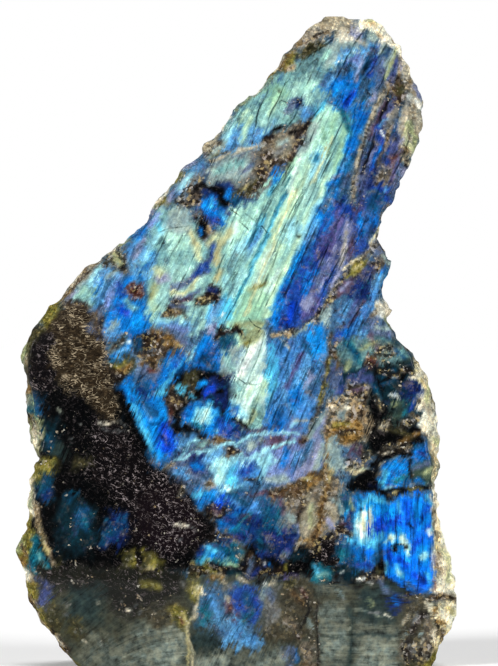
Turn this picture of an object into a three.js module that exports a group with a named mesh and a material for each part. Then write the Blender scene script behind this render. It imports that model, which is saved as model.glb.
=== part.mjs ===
// A labradorite freeform: one stone, cut flat underneath and polished on its front.
// Millimetres, +Z up. The origin is the middle of the stone's box, on the surface it
// stands on; the polished face looks along -Y.
//
// The stone is a block whose corners and faces are carried onto three closed outlines:
// the edge of the polished face in front, the widest outline just behind it, and a
// smaller, broken outline at the back.

import * as THREE from 'three';
import { mergeVertices } from 'three/addons/utils/BufferGeometryUtils.js';

// ---- Driving dimensions -------------------------------------------------------------

// The widest outline, seen from the front, as corners of the broken edge.
// Left and right sides, base to top: [height, place across, width of the rough rim].
const LEFT = [
  [0, -48.5, 1], [7, -54.5, 1.5], [13, -59.5, 2], [20, -63, 2.5], [24.5, -63.5, 2.5],
  [29, -65, 3.5], [35, -67.5, 5], [40.5, -65, 3.5], [46, -63.8, 3], [55.5, -63, 2],
  [61, -61.8, 1], [63.5, -60, 0.8], [66, -61.6, 2], [71, -63.4, 5], [75, -63.8, 3],
  [86, -64.4, 2], [92, -65.7, 2.5], [95, -66, 2.7], [98.6, -64.4, 1.5], [103, -62.2, 2],
  [105.3, -60.4, 2.5], [111, -58, 3], [113.3, -54.2, 2.2], [116, -53, 2.7],
  [118.6, -50, 3], [122, -46, 2.4], [125, -41.6, 1.5], [128, -38, 1.5], [130.6, -33.6, 1],
  [136.4, -27.7, 1.2], [139.5, -26.5, 1.8], [145, -22.8, 2.4], [147.8, -19, 1.6],
  [151.5, -17.2, 1.6], [155, -12.6, 1.6], [157.7, -10.5, 3.4], [160.5, -10, 3.6],
  [164.2, -4.3, 1.4], [168.5, -1.5, 1], [172, 0, 1.6], [176, 6.2, 1.2], [179.3, 10, 1.4],
  [183.3, 12.3, 1.8], [188.5, 15.7, 2.6], [191.3, 17.6, 3],
];
const RIGHT = [
  [0, 60.4, 1.2], [5.2, 62.5, 3.2], [9, 64, 4.6], [11.4, 66, 5.8], [14.5, 66.8, 6.5],
  [20, 67.5, 7.4], [25.6, 66.8, 7], [30.8, 65.3, 6], [37.6, 64, 4.5], [42.8, 62.2, 3],
  [50.8, 61.3, 1.6], [56.4, 60.7, 1.4], [60.7, 62, 2.2], [64.7, 61.6, 3.2], [70, 62.5, 5.5],
  [75.5, 62.2, 4.8], [80.7, 61.3, 3.8], [85.6, 60, 3.2], [89, 59, 3.2], [91.2, 57, 2.6],
  [94, 55.7, 2], [97, 53.6, 1.5], [99.8, 50.5, 1.2], [103.5, 48, 1.2], [106.6, 46.5, 1.4],
  [109, 48.4, 3.6], [110.6, 47, 2.8], [112.4, 44.7, 1], [115.5, 44.4, 1], [118.3, 45, 1],
  [121.7, 46.8, 1.2], [124.7, 47.7, 1.4], [127.5, 46, 1.2], [131, 44, 1.2], [135.5, 44.7, 1],
  [139.2, 45.6, 1], [141.7, 47.4, 1], [146, 49.6, 1.2], [150, 51.7, 1.4], [153.7, 53.6, 2],
  [156.8, 54.5, 3.4], [160.8, 56.4, 5], [165.7, 57.3, 6], [172.5, 57.3, 5.6],
  [176.2, 56.7, 4.8], [179.5, 54.4, 3], [184.2, 53.3, 2.5], [188, 51.4, 2.4], [190.7, 50.8, 3],
];
// The top, left to right: [place across, height, width of the rough rim].
const TOP = [
  [17.6, 191.3, 3], [21.6, 194.3, 4.5], [24, 197, 5.6], [26.8, 199.4, 7], [29, 200, 6.4],
  [32, 200, 5.6], [35, 199, 5.8], [38.8, 199, 6], [42, 199.3, 6], [45, 197, 4.6],
  [48, 193.7, 3], [50.8, 190.7, 3],
];

// The section, front to back.
const BASE_FRONT = -25.5;       // front edge of the cut base
const RIDGE_FRONT = -28;        // soft ridge where the lower facet meets the polished face
const RIDGE_HEIGHT = 26;        // on the middle line; it drops a little to the right
const RIDGE_FALL = 0.022;
const LEAN = Math.tan(THREE.MathUtils.degToRad(8));   // the polished face leans back
const DOME = 3;                 // how far the polished face stands out of its edge
const BACK = [[0, 27.5], [30, 28.5], [70, 26.5], [110, 22.5], [150, 17.5], [200, 12]];
const BACK_INSET = 9;           // the back outline lies this far inside the widest one

// The middle line that the outline shrinks towards.
const CORE_LOW = [3, 30];
const CORE_HIGH = [36, 178];
const BASE_EDGE = 12;           // below this height the outline shrinks sideways only

// The broken surface.
const FACET_SIZE = 34;          // cleavage faces
const FACET_DEPTH = 9;
const FACET_TILT = 1.1;
const FACET_MEET = 0.2;         // how softly two faces meet, as a share of their size
const LEDGE_SIZE = 15;          // steps of the second cleavage, one above the other
const LEDGE_DEPTH = 3.5;
const LEDGE_WAY = [0.42, 0.25, 0.87];
const LEDGE_RISER = 0.3;        // share of a step that is its riser
const LUMP_SIZE = 11;           // lumps and pits on them
const LUMP_DEPTH = 2.5;
const FULL_THICKNESS = 40;      // where the stone is thinner, the cuts are shallower

// The block: steps across, front to back and up.
const ACROSS = 34;
const DEEP = 9;
const UP = 46;
const DEEP_SPREAD = 1.4;        // the steps are closer together near the front
const RIM = (2 / DEEP) ** DEEP_SPREAD;   // depth share at which the outline is widest
const ROUGH_FROM = 0.42;        // depth share from which the surface is fully broken

// ---- Noise --------------------------------------------------------------------------

// A repeatable number from 0 to 1 for a lattice point.
function chance(i, j, k, salt) {
  let h = Math.imul(i, 374761393) ^ Math.imul(j, 668265263)
        ^ Math.imul(k, 1442695041) ^ Math.imul(salt, 974634777);
  h = Math.imul(h ^ (h >>> 13), 1274126177);
  return ((h ^ (h >>> 16)) >>> 0) / 4294967296;
}

const ease = (t) => t * t * (3 - 2 * t);
const mix = (low, high, t) => low + (high - low) * t;
const clamp01 = (t) => Math.min(1, Math.max(0, t));
const step = (from, to, t) => ease(clamp01((t - from) / (to - from)));

// Lumps: lattice values eased from one point to the next, 0 to 1.
function lumps(p, size, salt) {
  const cell = p.map((v) => Math.floor(v / size));
  const part = p.map((v, axis) => ease(v / size - cell[axis]));
  const along = (j, k) => mix(chance(cell[0], cell[1] + j, cell[2] + k, salt),
                              chance(cell[0] + 1, cell[1] + j, cell[2] + k, salt), part[0]);
  return mix(mix(along(0, 0), along(1, 0), part[1]),
             mix(along(0, 1), along(1, 1), part[1]), part[2]);
}

// Cleavage faces: the cell around every scattered point is one tilted plane, and a
// place takes the plane of its nearest point, or both planes' mean where two meet.
function facets(p, size, salt) {
  const cell = p.map((v) => Math.floor(v / size));
  let first = { far: Infinity, level: 0 };
  let second = first;
  for (let n = 0; n < 27; n++) {
    const at = [cell[0] + n % 3 - 1, cell[1] + Math.floor(n / 3) % 3 - 1, cell[2] + Math.floor(n / 9) - 1];
    const gap = at.map((v, axis) => p[axis] / size - v - chance(...at, salt + axis));
    const tilt = gap.reduce((sum, g, axis) => sum + g * (2 * chance(...at, salt + 4 + axis) - 1), 0);
    const plane = { far: Math.hypot(...gap), level: chance(...at, salt + 3) + FACET_TILT * tilt };
    if (plane.far < first.far) [first, second] = [plane, first];
    else if (plane.far < second.far) second = plane;
  }
  const own = 0.5 + 0.5 * step(0, FACET_MEET, second.far - first.far);
  return mix(second.level, first.level, own);
}

// Ledges: a saw tooth along one direction, bent by the lumps. 0 to 1.
function ledges(p) {
  const way = p.reduce((sum, v, axis) => sum + v * LEDGE_WAY[axis], 0);
  const place = way / LEDGE_SIZE + 2 * lumps(p, 2 * LEDGE_SIZE, 51);
  const tooth = place - Math.floor(place);
  return Math.min(tooth / (1 - LEDGE_RISER), (1 - tooth) / LEDGE_RISER);
}

// How deep the broken surface is cut at a point, never outwards.
function broken(p) {
  return FACET_DEPTH * clamp01(facets(p, FACET_SIZE, 11)) + LEDGE_DEPTH * ledges(p)
    + LUMP_DEPTH * lumps(p, LUMP_SIZE, 31);
}

// ---- Outlines -----------------------------------------------------------------------

// Reads a table of [place, value, rim] rows at a place.
function along(table, place) {
  let row = 1;
  while (row < table.length - 1 && table[row][0] < place) row++;
  const [low, high] = [table[row - 1], table[row]];
  const t = clamp01((place - low[0]) / (high[0] - low[0]));
  return low.slice(1).map((value, column) => mix(value, high[column + 1], t));
}

// Moves an outline point towards the middle line, never more than half way to it.
function shrink([x, z], distance) {
  const run = [CORE_HIGH[0] - CORE_LOW[0], CORE_HIGH[1] - CORE_LOW[1]];
  const share = clamp01(((x - CORE_LOW[0]) * run[0] + (z - CORE_LOW[1]) * run[1])
                        / (run[0] ** 2 + run[1] ** 2));
  const way = [CORE_LOW[0] + share * run[0] - x, CORE_LOW[1] + share * run[1] - z];
  const length = Math.hypot(...way);
  const reach = length / 2;
  const moved = 0.5 * (1 - Math.exp(-distance / reach));
  return [x + moved * way[0], z + moved * way[1] * step(0, BASE_EDGE, z)];
}

// A point of the outline at a depth share from 0, the polished face, to 1, the back.
function outline(point, rim, depth, y) {
  if (depth <= RIM) return shrink(point, rim * (1 - depth / RIM));
  const back = (depth - RIM) / (1 - RIM);
  const round = BACK_INSET * (1 - Math.sqrt(1 - back * back));
  return shrink(point, round + broken([point[0], y, point[1]]) * step(RIM, ROUGH_FROM, depth));
}

// ---- The stone ----------------------------------------------------------------------

function frontOf(across, up, x, z) {
  const ridge = RIDGE_HEIGHT - RIDGE_FALL * x;
  const slope = z > ridge ? LEAN * (z - ridge)
                          : (BASE_FRONT - RIDGE_FRONT) * (ridge - z) / ridge;
  return RIDGE_FRONT + DOME + slope - DOME * (1 - across ** 4) * (1 - up ** 6);
}

// Carries a place in the block (across -1 to 1, depth and up 0 to 1) onto the stone:
// the sides and the top give the edges, and the inside is blended from all four.
function stonePoint(across, depth, up) {
  const s = (across + 1) / 2;
  const depthAt = (z) => mix(RIDGE_FRONT, along(BACK, z)[0], depth);
  const side = (table, share) => {
    const z = share * table[table.length - 1][0];
    const [x, rim] = along(table, z);
    return outline([x, z], rim, depth, depthAt(z));
  };
  const crown = (share) => {
    const x = mix(TOP[0][0], TOP[TOP.length - 1][0], share);
    const [z, rim] = along(TOP, x);
    return outline([x, z], rim, depth, depthAt(z));
  };
  const corners = [side(LEFT, 0), side(RIGHT, 0), crown(0), crown(1)];
  const [left, right, top] = [side(LEFT, up), side(RIGHT, up), crown(s)];
  const [x, z] = [0, 1].map((axis) => {
    const bottom = mix(corners[0][axis], corners[1][axis], s);
    const square = mix(bottom, mix(corners[2][axis], corners[3][axis], s), up);
    return mix(left[axis], right[axis], s) + mix(bottom, top[axis], up) - square;
  });
  const front = frontOf(across, up, x, z);
  const back = along(BACK, z)[0];
  const thickness = clamp01((back - front) / FULL_THICKNESS);
  const cut = broken([x, back, z]) * thickness * step(ROUGH_FROM, 1, depth);
  return [x, mix(front, back, depth) - cut, z];
}

function stoneGeometry() {
  const geometry = new THREE.BoxGeometry(2, 1, 1, ACROSS, DEEP, UP);
  geometry.deleteAttribute('normal');
  geometry.deleteAttribute('uv');
  const place = geometry.getAttribute('position');
  for (let i = 0; i < place.count; i++) {
    const depth = (place.getY(i) + 0.5) ** DEEP_SPREAD;
    place.setXYZ(i, ...stonePoint(place.getX(i), depth, place.getZ(i) + 0.5));
  }
  const merged = mergeVertices(geometry, 1e-4);
  merged.computeVertexNormals();
  return merged;
}

const labradorite = new THREE.MeshStandardMaterial({
  color: 0x2f5f86,
  roughness: 0.25,
  metalness: 0,
  flatShading: true,
});

const stone = new THREE.Mesh(stoneGeometry(), labradorite);
stone.name = 'stone';

const freeform = new THREE.Group();
freeform.add(stone);

export default freeform;
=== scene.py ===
"""A labradorite freeform: one stone, cut flat underneath and polished on its front.

The shape is worked out in millimetres, +Z up, with the polished face along -Y, and is
put into the mesh in metres. A block is carried onto three closed outlines: the edge of
the polished face, the widest outline just behind it, and a smaller, broken outline at
the back. The stone's colours are marks drawn on the front and read at every vertex;
the shader adds the lamellae, cracks, specks and flakes that are finer than the mesh.
"""

import bpy
import numpy as np
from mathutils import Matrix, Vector


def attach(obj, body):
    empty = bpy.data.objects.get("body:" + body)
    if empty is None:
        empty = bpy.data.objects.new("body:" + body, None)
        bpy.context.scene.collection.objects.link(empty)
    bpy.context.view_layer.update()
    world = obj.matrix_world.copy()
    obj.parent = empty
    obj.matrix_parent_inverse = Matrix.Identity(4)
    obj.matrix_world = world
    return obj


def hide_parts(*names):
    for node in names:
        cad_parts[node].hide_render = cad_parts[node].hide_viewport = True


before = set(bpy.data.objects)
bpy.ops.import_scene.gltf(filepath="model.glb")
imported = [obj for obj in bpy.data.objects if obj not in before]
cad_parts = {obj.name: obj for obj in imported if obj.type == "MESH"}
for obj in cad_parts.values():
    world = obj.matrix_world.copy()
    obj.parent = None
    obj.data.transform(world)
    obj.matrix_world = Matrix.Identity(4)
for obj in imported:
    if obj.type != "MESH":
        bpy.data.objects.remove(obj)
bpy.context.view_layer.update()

# ---- Sizes of the stone, in millimetres ----------------------------------------------

# The widest outline, seen from the front, as corners of the broken edge.
# Left and right sides, base to top: height, place across, width of the rough rim.
LEFT = np.array([
    [0, -48.5, 1], [7, -54.5, 1.5], [13, -59.5, 2], [20, -63, 2.5], [24.5, -63.5, 2.5],
    [29, -65, 3.5], [35, -67.5, 5], [40.5, -65, 3.5], [46, -63.8, 3], [55.5, -63, 2],
    [61, -61.8, 1], [63.5, -60, 0.8], [66, -61.6, 2], [71, -63.4, 5], [75, -63.8, 3],
    [86, -64.4, 2], [92, -65.7, 2.5], [95, -66, 2.7], [98.6, -64.4, 1.5], [103, -62.2, 2],
    [105.3, -60.4, 2.5], [109, -58.6, 3], [111.4, -56.8, 2.6], [113.3, -54.4, 2.2], [116, -53, 2.7],
    [118.6, -50, 3], [122, -46, 2.4], [125, -41.6, 1.5], [128, -38, 1.5], [130.6, -33.6, 1],
    [136.4, -27.7, 1.2], [139.5, -26.5, 1.8], [145, -22.8, 2.4], [147.8, -19, 1.6],
    [151.5, -17.2, 1.6], [155, -12.6, 1.6], [157.7, -10.5, 3.4], [160.5, -10, 3.6],
    [164.2, -4.3, 1.4], [168.5, -1.5, 1], [172, 0, 1.6], [176, 6.2, 1.2], [179.3, 10, 1.4],
    [183.3, 12.3, 1.8], [188.5, 15.7, 2.6], [191.3, 17.6, 3],
])
RIGHT = np.array([
    [0, 60.4, 1.2], [5.2, 62.5, 3.2], [9, 64, 4.6], [11.4, 66, 5.8], [14.5, 66.8, 6.5],
    [20, 67.5, 7.4], [25.6, 66.8, 7], [30.8, 65.3, 6], [37.6, 64, 4.5], [42.8, 62.2, 3],
    [50.8, 61.3, 1.6], [56.4, 60.7, 1.4], [60.7, 62, 2.2], [64.7, 61.6, 3.2], [70, 62.5, 5.5],
    [75.5, 62.2, 4.8], [80.7, 61.3, 3.8], [85.6, 60, 3.2], [89, 59, 3.2], [91.2, 57, 2.6],
    [94, 55.7, 2], [97, 53.6, 1.5], [99.8, 50.5, 1.2], [103.5, 48, 1.2], [106.6, 46.5, 1.4],
    [109, 48.4, 3.6], [110.6, 47, 2.8], [112.4, 44.7, 1], [115.5, 44.4, 1], [118.3, 45, 1],
    [121.7, 46.8, 1.2], [124.7, 47.7, 1.4], [127.5, 46, 1.2], [131, 44, 1.2], [135.5, 44.7, 1],
    [139.2, 45.6, 1], [141.7, 47.4, 1], [146, 49.6, 1.2], [150, 51.7, 1.4], [153.7, 53.6, 2],
    [156.8, 54.5, 3.4], [160.8, 56.4, 5], [165.7, 57.3, 6], [172.5, 57.3, 5.6],
    [176.2, 56.7, 4.8], [179.5, 54.4, 3], [184.2, 53.3, 2.5], [188, 51.4, 2.4], [190.7, 50.8, 3],
])
# The top, left to right: place across, height, width of the rough rim.
TOP = np.array([
    [17.6, 191.3, 3], [21.6, 194.3, 4.5], [24, 197, 5.6], [26.8, 199.4, 7], [29, 200, 6.4],
    [32, 200, 5.6], [35, 199, 5.8], [38.8, 199, 6], [42, 199.3, 6], [45, 197, 4.6],
    [48, 193.7, 3], [50.8, 190.7, 3],
])

# The section, front to back.
BASE_FRONT = -25.5          # front edge of the cut base
RIDGE_FRONT = -28           # soft ridge where the lower facet meets the polished face
RIDGE_HEIGHT = 26           # on the middle line; it drops a little to the right
RIDGE_FALL = 0.022
LEAN = np.tan(np.radians(8))    # the polished face leans back
DOME = 3                    # how far the polished face stands out of its edge
BACK = np.array([[0, 27.5], [30, 28.5], [70, 26.5], [110, 22.5], [150, 17.5], [200, 12]])
BACK_INSET = 9              # the back outline lies this far inside the widest one

# The middle line that the outline shrinks towards.
CORE_LOW = np.array([3, 30])
CORE_HIGH = np.array([36, 178])
BASE_EDGE = 12              # below this height the outline shrinks sideways only

# The broken surface.
FACET_SIZE = 34             # cleavage faces
FACET_DEPTH = 9
FACET_TILT = 1.1
FACET_MEET = 0.2            # how softly two faces meet, as a share of their size
LEDGE_SIZE = 15             # steps of the second cleavage, one above the other
LEDGE_DEPTH = 3.5
LEDGE_WAY = np.array([0.42, 0.25, 0.87])
LEDGE_RISER = 0.3           # share of a step that is its riser
LUMP_SIZE = 11              # lumps and pits on them
LUMP_DEPTH = 2.5
FULL_THICKNESS = 40         # where the stone is thinner, the cuts are shallower
RIM = (2 / 9) ** 1.4        # depth share at which the outline is widest
ROUGH_FROM = 0.42           # depth share from which the surface is fully broken
CRUST_FROM = 0.3 * RIM      # depth share from which the rim is fully rough
ROCK = (1.05 * RIM, 0.3)    # depth shares between which the drawing gives way to rock

# The crust of the rim gets thinner between these heights, to this share of itself.
CRUST_THINS = (100, 120)
THIN_CRUST = 0.45

# Chips, crystal faces and pits too small for the plain solid: size, depth, kind.
CHIPS = [(9, 1.3, 71), (4, 0.8, 81)]
PITS = [(2.6, 1.2, 91), (1.5, 0.7, 95)]
CHIPPED_FROM = 0.35 * RIM   # depth share from which the rim is chipped
RIM_CHIPS = 0.8             # how deep its chips are, as a share of those behind it

# The mesh: steps across and up the polished face, rows round the rim and behind it.
ACROSS = 176
UP = 336
RIM_ROWS = 9
BODY_ROWS = 20

# The lamellae slant up to the right and stand up in the lower right block, in degrees.
SLANT = 66
STAND = 87
PIVOT = (47, 50)            # place across and height that they are measured from
STAND_ACROSS = (22, 36)     # they turn over these stretches, across and in height
STAND_UP = (66, 52)
# On the lower facet they lie level right of its second seam and left of its first one.
LEVEL_LEFT = (-13.8, -14.6)
LEVEL_RIGHT = (24.4, 25.2)
LEVEL_UP = (26.6, 26)
ARC_FROM = -13              # left of this place they fan down in arcs

# ---- Noise ---------------------------------------------------------------------------


def chance(i, j, k, salt):
    """A repeatable number from 0 to 1 for each lattice point: a 32-bit hash of it."""
    word = (i * 374761393) ^ (j * 668265263) ^ (k * 1442695041) ^ (salt * 974634777)
    word = word & 0xFFFFFFFF
    word = ((word ^ (word >> 13)) * 1274126177) & 0xFFFFFFFF
    return (word ^ (word >> 16)) / 4294967296.0


def ease(t):
    """t squared times (3 - 2t): level at both ends."""
    return t * t * (3 - 2 * t)


def mix(low, high, t):
    """low at t 0, high at t 1, in a straight line between and beyond them."""
    return low + (high - low) * t


def step(start, end, t):
    """0 before start, 1 after end, eased between them, whichever of the two is larger."""
    return ease(np.clip((t - start) / (end - start), 0, 1))


def lattice(p, size):
    """The cell of each point, as whole numbers, and its place in the cell, 0 to 1."""
    cell = np.floor(p / size).astype(np.int64)
    return cell, p / size - cell


def lumps(p, size, salt):
    """Lattice values eased from one lattice point to the next along x, y and z, 0 to 1."""
    cell, part = lattice(p, size)
    i, j, k = cell.T
    x, y, z = ease(part).T

    def row(b, c):
        return mix(chance(i, j + b, k + c, salt), chance(i + 1, j + b, k + c, salt), x)

    return mix(mix(row(0, 0), row(1, 0), y), mix(row(0, 1), row(1, 1), y), z)


def facets(p, size, salt):
    """Cleavage faces: each point takes the tilted plane of the nearest scattered centre,
    level + tilt . gap, or the mean of the two nearest planes where they meet."""
    cell, part = lattice(p, size)
    near = np.full(len(p), np.inf)
    far = np.full(len(p), np.inf)
    level = np.zeros(len(p))
    other = np.zeros(len(p))
    for n in range(27):
        offset = np.array([n % 3 - 1, n // 3 % 3 - 1, n // 9 - 1])
        at = cell + offset
        gap = part - offset - np.stack([chance(*at.T, salt + axis) for axis in range(3)], 1)
        way = np.stack([2 * chance(*at.T, salt + 4 + axis) - 1 for axis in range(3)], 1)
        own = chance(*at.T, salt + 3) + FACET_TILT * (gap * way).sum(1)
        reach = np.sqrt((gap * gap).sum(1))
        first = reach < near
        second = ~first & (reach < far)
        far = np.where(first, near, np.where(second, reach, far))
        other = np.where(first, level, np.where(second, own, other))
        near = np.where(first, reach, near)
        level = np.where(first, own, level)
    return mix(other, level, 0.5 + 0.5 * step(0, FACET_MEET, far - near))


def ledges(p):
    """A saw tooth along one direction, bent by the lumps, 0 to 1."""
    place = p @ LEDGE_WAY / LEDGE_SIZE + 2 * lumps(p, 2 * LEDGE_SIZE, 51)
    tooth = place - np.floor(place)
    return np.minimum(tooth / (1 - LEDGE_RISER), (1 - tooth) / LEDGE_RISER)


def broken(p):
    """How deep the broken surface is cut at a point, never outwards."""
    return (FACET_DEPTH * np.clip(facets(p, FACET_SIZE, 11), 0, 1)
            + LEDGE_DEPTH * ledges(p) + LUMP_DEPTH * lumps(p, LUMP_SIZE, 31))


def chipped(p):
    """The small relief: chips and crystal faces, and pits between them, about 0 on average."""
    cut = sum(depth * (np.clip(facets(p, size, salt), 0, 1) - 0.5) for size, depth, salt in CHIPS)
    return cut + sum(depth * (lumps(p, size, salt) - 0.5) for size, depth, salt in PITS)


# ---- Shape ---------------------------------------------------------------------------


def read(table, place):
    """The columns of a table after the first, read in straight lines at a place."""
    return [np.interp(place, table[:, 0], column) for column in table[:, 1:].T]


def shrink(x, z, distance):
    """Moves an outline point towards the middle line, never more than half way to it:
    a share (1 - exp(-distance / reach)) / 2 of the way, where reach is half the way."""
    run = CORE_HIGH - CORE_LOW
    share = np.clip(((x - CORE_LOW[0]) * run[0] + (z - CORE_LOW[1]) * run[1])
                    / (run @ run), 0, 1)
    way_x = CORE_LOW[0] + share * run[0] - x
    way_z = CORE_LOW[1] + share * run[1] - z
    reach = np.hypot(way_x, way_z) / 2
    moved = 0.5 * (1 - np.exp(-distance / reach))
    return x + moved * way_x, z + moved * way_z * step(0, BASE_EDGE, z)


def outline(x, z, rim, depth, y):
    """The outline at a depth share: it widens over the rim and then closes like a
    quarter circle, cut by the broken surface."""
    widening = rim * (1 - np.minimum(depth, RIM) / RIM)
    back = np.clip((depth - RIM) / (1 - RIM), 0, 1)
    closing = BACK_INSET * (1 - np.sqrt(1 - back * back))
    cut = broken(np.stack([x, y, z], 1)) * step(RIM, ROUGH_FROM, depth)
    return shrink(x, z, np.where(depth <= RIM, widening, closing + cut))


def front_of(across, up, x, z):
    """The front: two leaning planes that meet on the ridge, and a low dome over both,
    DOME (1 - across^4) (1 - up^6)."""
    ridge = RIDGE_HEIGHT - RIDGE_FALL * x
    slope = np.where(z > ridge, LEAN * (z - ridge),
                     (BASE_FRONT - RIDGE_FRONT) * (ridge - z) / ridge)
    return RIDGE_FRONT + DOME + slope - DOME * (1 - across ** 4) * (1 - up ** 6)


def stone_points(across, depth, up):
    """Carries places in the block, across -1 to 1, depth and up 0 to 1, onto the stone.
    The sides and the top give the edges, and the inside is blended from all four:
    left to right plus bottom to top minus the blend of the corners."""
    s = (across + 1) / 2

    def depth_at(z):
        return mix(RIDGE_FRONT, read(BACK, z)[0], depth)

    def side(table, share):
        z = share * table[-1, 0]
        x, rim = read(table, z)
        return outline(x, z, rim, depth, depth_at(z))

    def crown(share):
        x = mix(TOP[0, 0], TOP[-1, 0], share)
        z, rim = read(TOP, x)
        return outline(x, z, rim, depth, depth_at(z))

    none, full = np.zeros_like(s), np.ones_like(s)
    corners = [side(LEFT, none), side(RIGHT, none), crown(none), crown(full)]
    left, right, top = side(LEFT, up), side(RIGHT, up), crown(s)
    place = []
    for axis in (0, 1):
        bottom = mix(corners[0][axis], corners[1][axis], s)
        square = mix(bottom, mix(corners[2][axis], corners[3][axis], s), up)
        place.append(mix(left[axis], right[axis], s) + mix(bottom, top[axis], up) - square)
    x, z = place
    front = front_of(across, up, x, z)
    back = read(BACK, z)[0]
    thickness = np.clip((back - front) / FULL_THICKNESS, 0, 1)
    cut = broken(np.stack([x, back, z], 1)) * thickness * step(ROUGH_FROM, 1, depth)
    return np.stack([x, mix(front, back, depth) - cut, z], 1)


def grid_faces(first, row, column, rows, columns):
    """Quads of a grid whose vertex (r, c) is first + r row + c column."""
    r, c = (a.ravel() for a in np.mgrid[0:rows, 0:columns])
    corner = first + r * row + c * column
    return np.stack([corner, corner + column, corner + row + column, corner + row], 1)


def loop_places(steps_across, steps_up):
    """The edge of the block as one closed loop: base, right side, top and left side."""
    a = np.linspace(-1, 1, steps_across + 1)
    u = np.linspace(0, 1, steps_up + 1)
    across = np.concatenate([a[:-1], np.full(steps_up, 1.0), a[:0:-1], np.full(steps_up, -1.0)])
    up = np.concatenate([np.zeros(steps_across), u[:-1], np.ones(steps_across), u[:0:-1]])
    return across, up


def loop_in_grid(steps_across, steps_up):
    """The same loop as row and column numbers of a grid of (up, across)."""
    a, u = np.arange(steps_across + 1), np.arange(steps_up + 1)
    column = np.concatenate([a[:-1], np.full(steps_up, steps_across), a[:0:-1],
                             np.zeros(steps_up, int)])
    row = np.concatenate([np.zeros(steps_across, int), u[:-1],
                          np.full(steps_across, steps_up), u[:0:-1]])
    return row * (steps_across + 1) + column


def bands(loops):
    """Quads between closed loops of the same length, given as arrays of vertex numbers."""
    quads = []
    for near, far in zip(loops[:-1], loops[1:]):
        quads.append(np.stack([np.roll(near, -1), near, far, np.roll(far, -1)], 1))
    return np.concatenate(quads)


def block():
    """The closed block: a fine grid in front, fine loops over the rim, one row that
    halves the steps, loops round the body and a coarser grid at the back.
    Returns the places, the quads and the triangles."""
    up, across = (v.ravel() for v in np.meshgrid(np.linspace(0, 1, UP + 1),
                                                 np.linspace(-1, 1, ACROSS + 1), indexing="ij"))
    places = [np.stack([across, np.zeros_like(up), up], 1)]
    count = len(up)
    quads = [grid_faces(0, ACROSS + 1, 1, UP, ACROSS)]
    fine = [loop_in_grid(ACROSS, UP)]
    loop_across, loop_up = loop_places(ACROSS, UP)
    for depth in RIM * (np.arange(1, RIM_ROWS + 1) / (RIM_ROWS - 1)) ** 1.15:
        places.append(np.stack([loop_across, np.full_like(loop_up, depth), loop_up], 1))
        fine.append(count + np.arange(len(loop_up)))
        count += len(loop_up)
    quads.append(bands(fine))
    coarse = []
    loop_across, loop_up = loop_places(ACROSS // 2, UP // 2)
    start = RIM * (RIM_ROWS / (RIM_ROWS - 1)) ** 1.15
    for depth in mix(start, 1, (np.arange(1, BODY_ROWS) / BODY_ROWS) ** 1.1):
        places.append(np.stack([loop_across, np.full_like(loop_up, depth), loop_up], 1))
        coarse.append(count + np.arange(len(loop_up)))
        count += len(loop_up)
    rear = loop_in_grid(ACROSS // 2, UP // 2)
    coarse.append(count + rear)
    quads.append(bands(coarse))
    up, across = (v.ravel() for v in np.meshgrid(np.linspace(0, 1, UP // 2 + 1),
                                                 np.linspace(-1, 1, ACROSS // 2 + 1), indexing="ij"))
    places.append(np.stack([across, np.ones_like(up), up], 1))
    quads.append(grid_faces(count, ACROSS // 2 + 1, 1, UP // 2, ACROSS // 2)[:, ::-1])
    near, far = fine[-1], coarse[0]
    even, odd, after = near[0::2], near[1::2], np.roll(near, -2)[0::2]
    turned = np.roll(far, -1)
    triangles = np.concatenate([np.stack([odd, even, far], 1), np.stack([odd, far, turned], 1),
                                np.stack([after, odd, turned], 1)])
    return np.concatenate(places), np.concatenate(quads), triangles


def point_normals(points, quads, triangles):
    """Unit normals at the vertices: the sum of the faces' area normals round each."""
    total = np.zeros_like(points)
    across = np.cross(points[quads[:, 2]] - points[quads[:, 0]],
                      points[quads[:, 3]] - points[quads[:, 1]])
    flat = np.cross(points[triangles[:, 1]] - points[triangles[:, 0]],
                    points[triangles[:, 2]] - points[triangles[:, 0]])
    for faces, normals in ((quads, across), (triangles, flat)):
        for corner in faces.T:
            for axis in range(3):
                total[:, axis] += np.bincount(corner, normals[:, axis], len(points))
    return total / np.maximum(np.linalg.norm(total, axis=1), 1e-9)[:, None]


# ---- The drawing on the front -----------------------------------------------------

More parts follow.
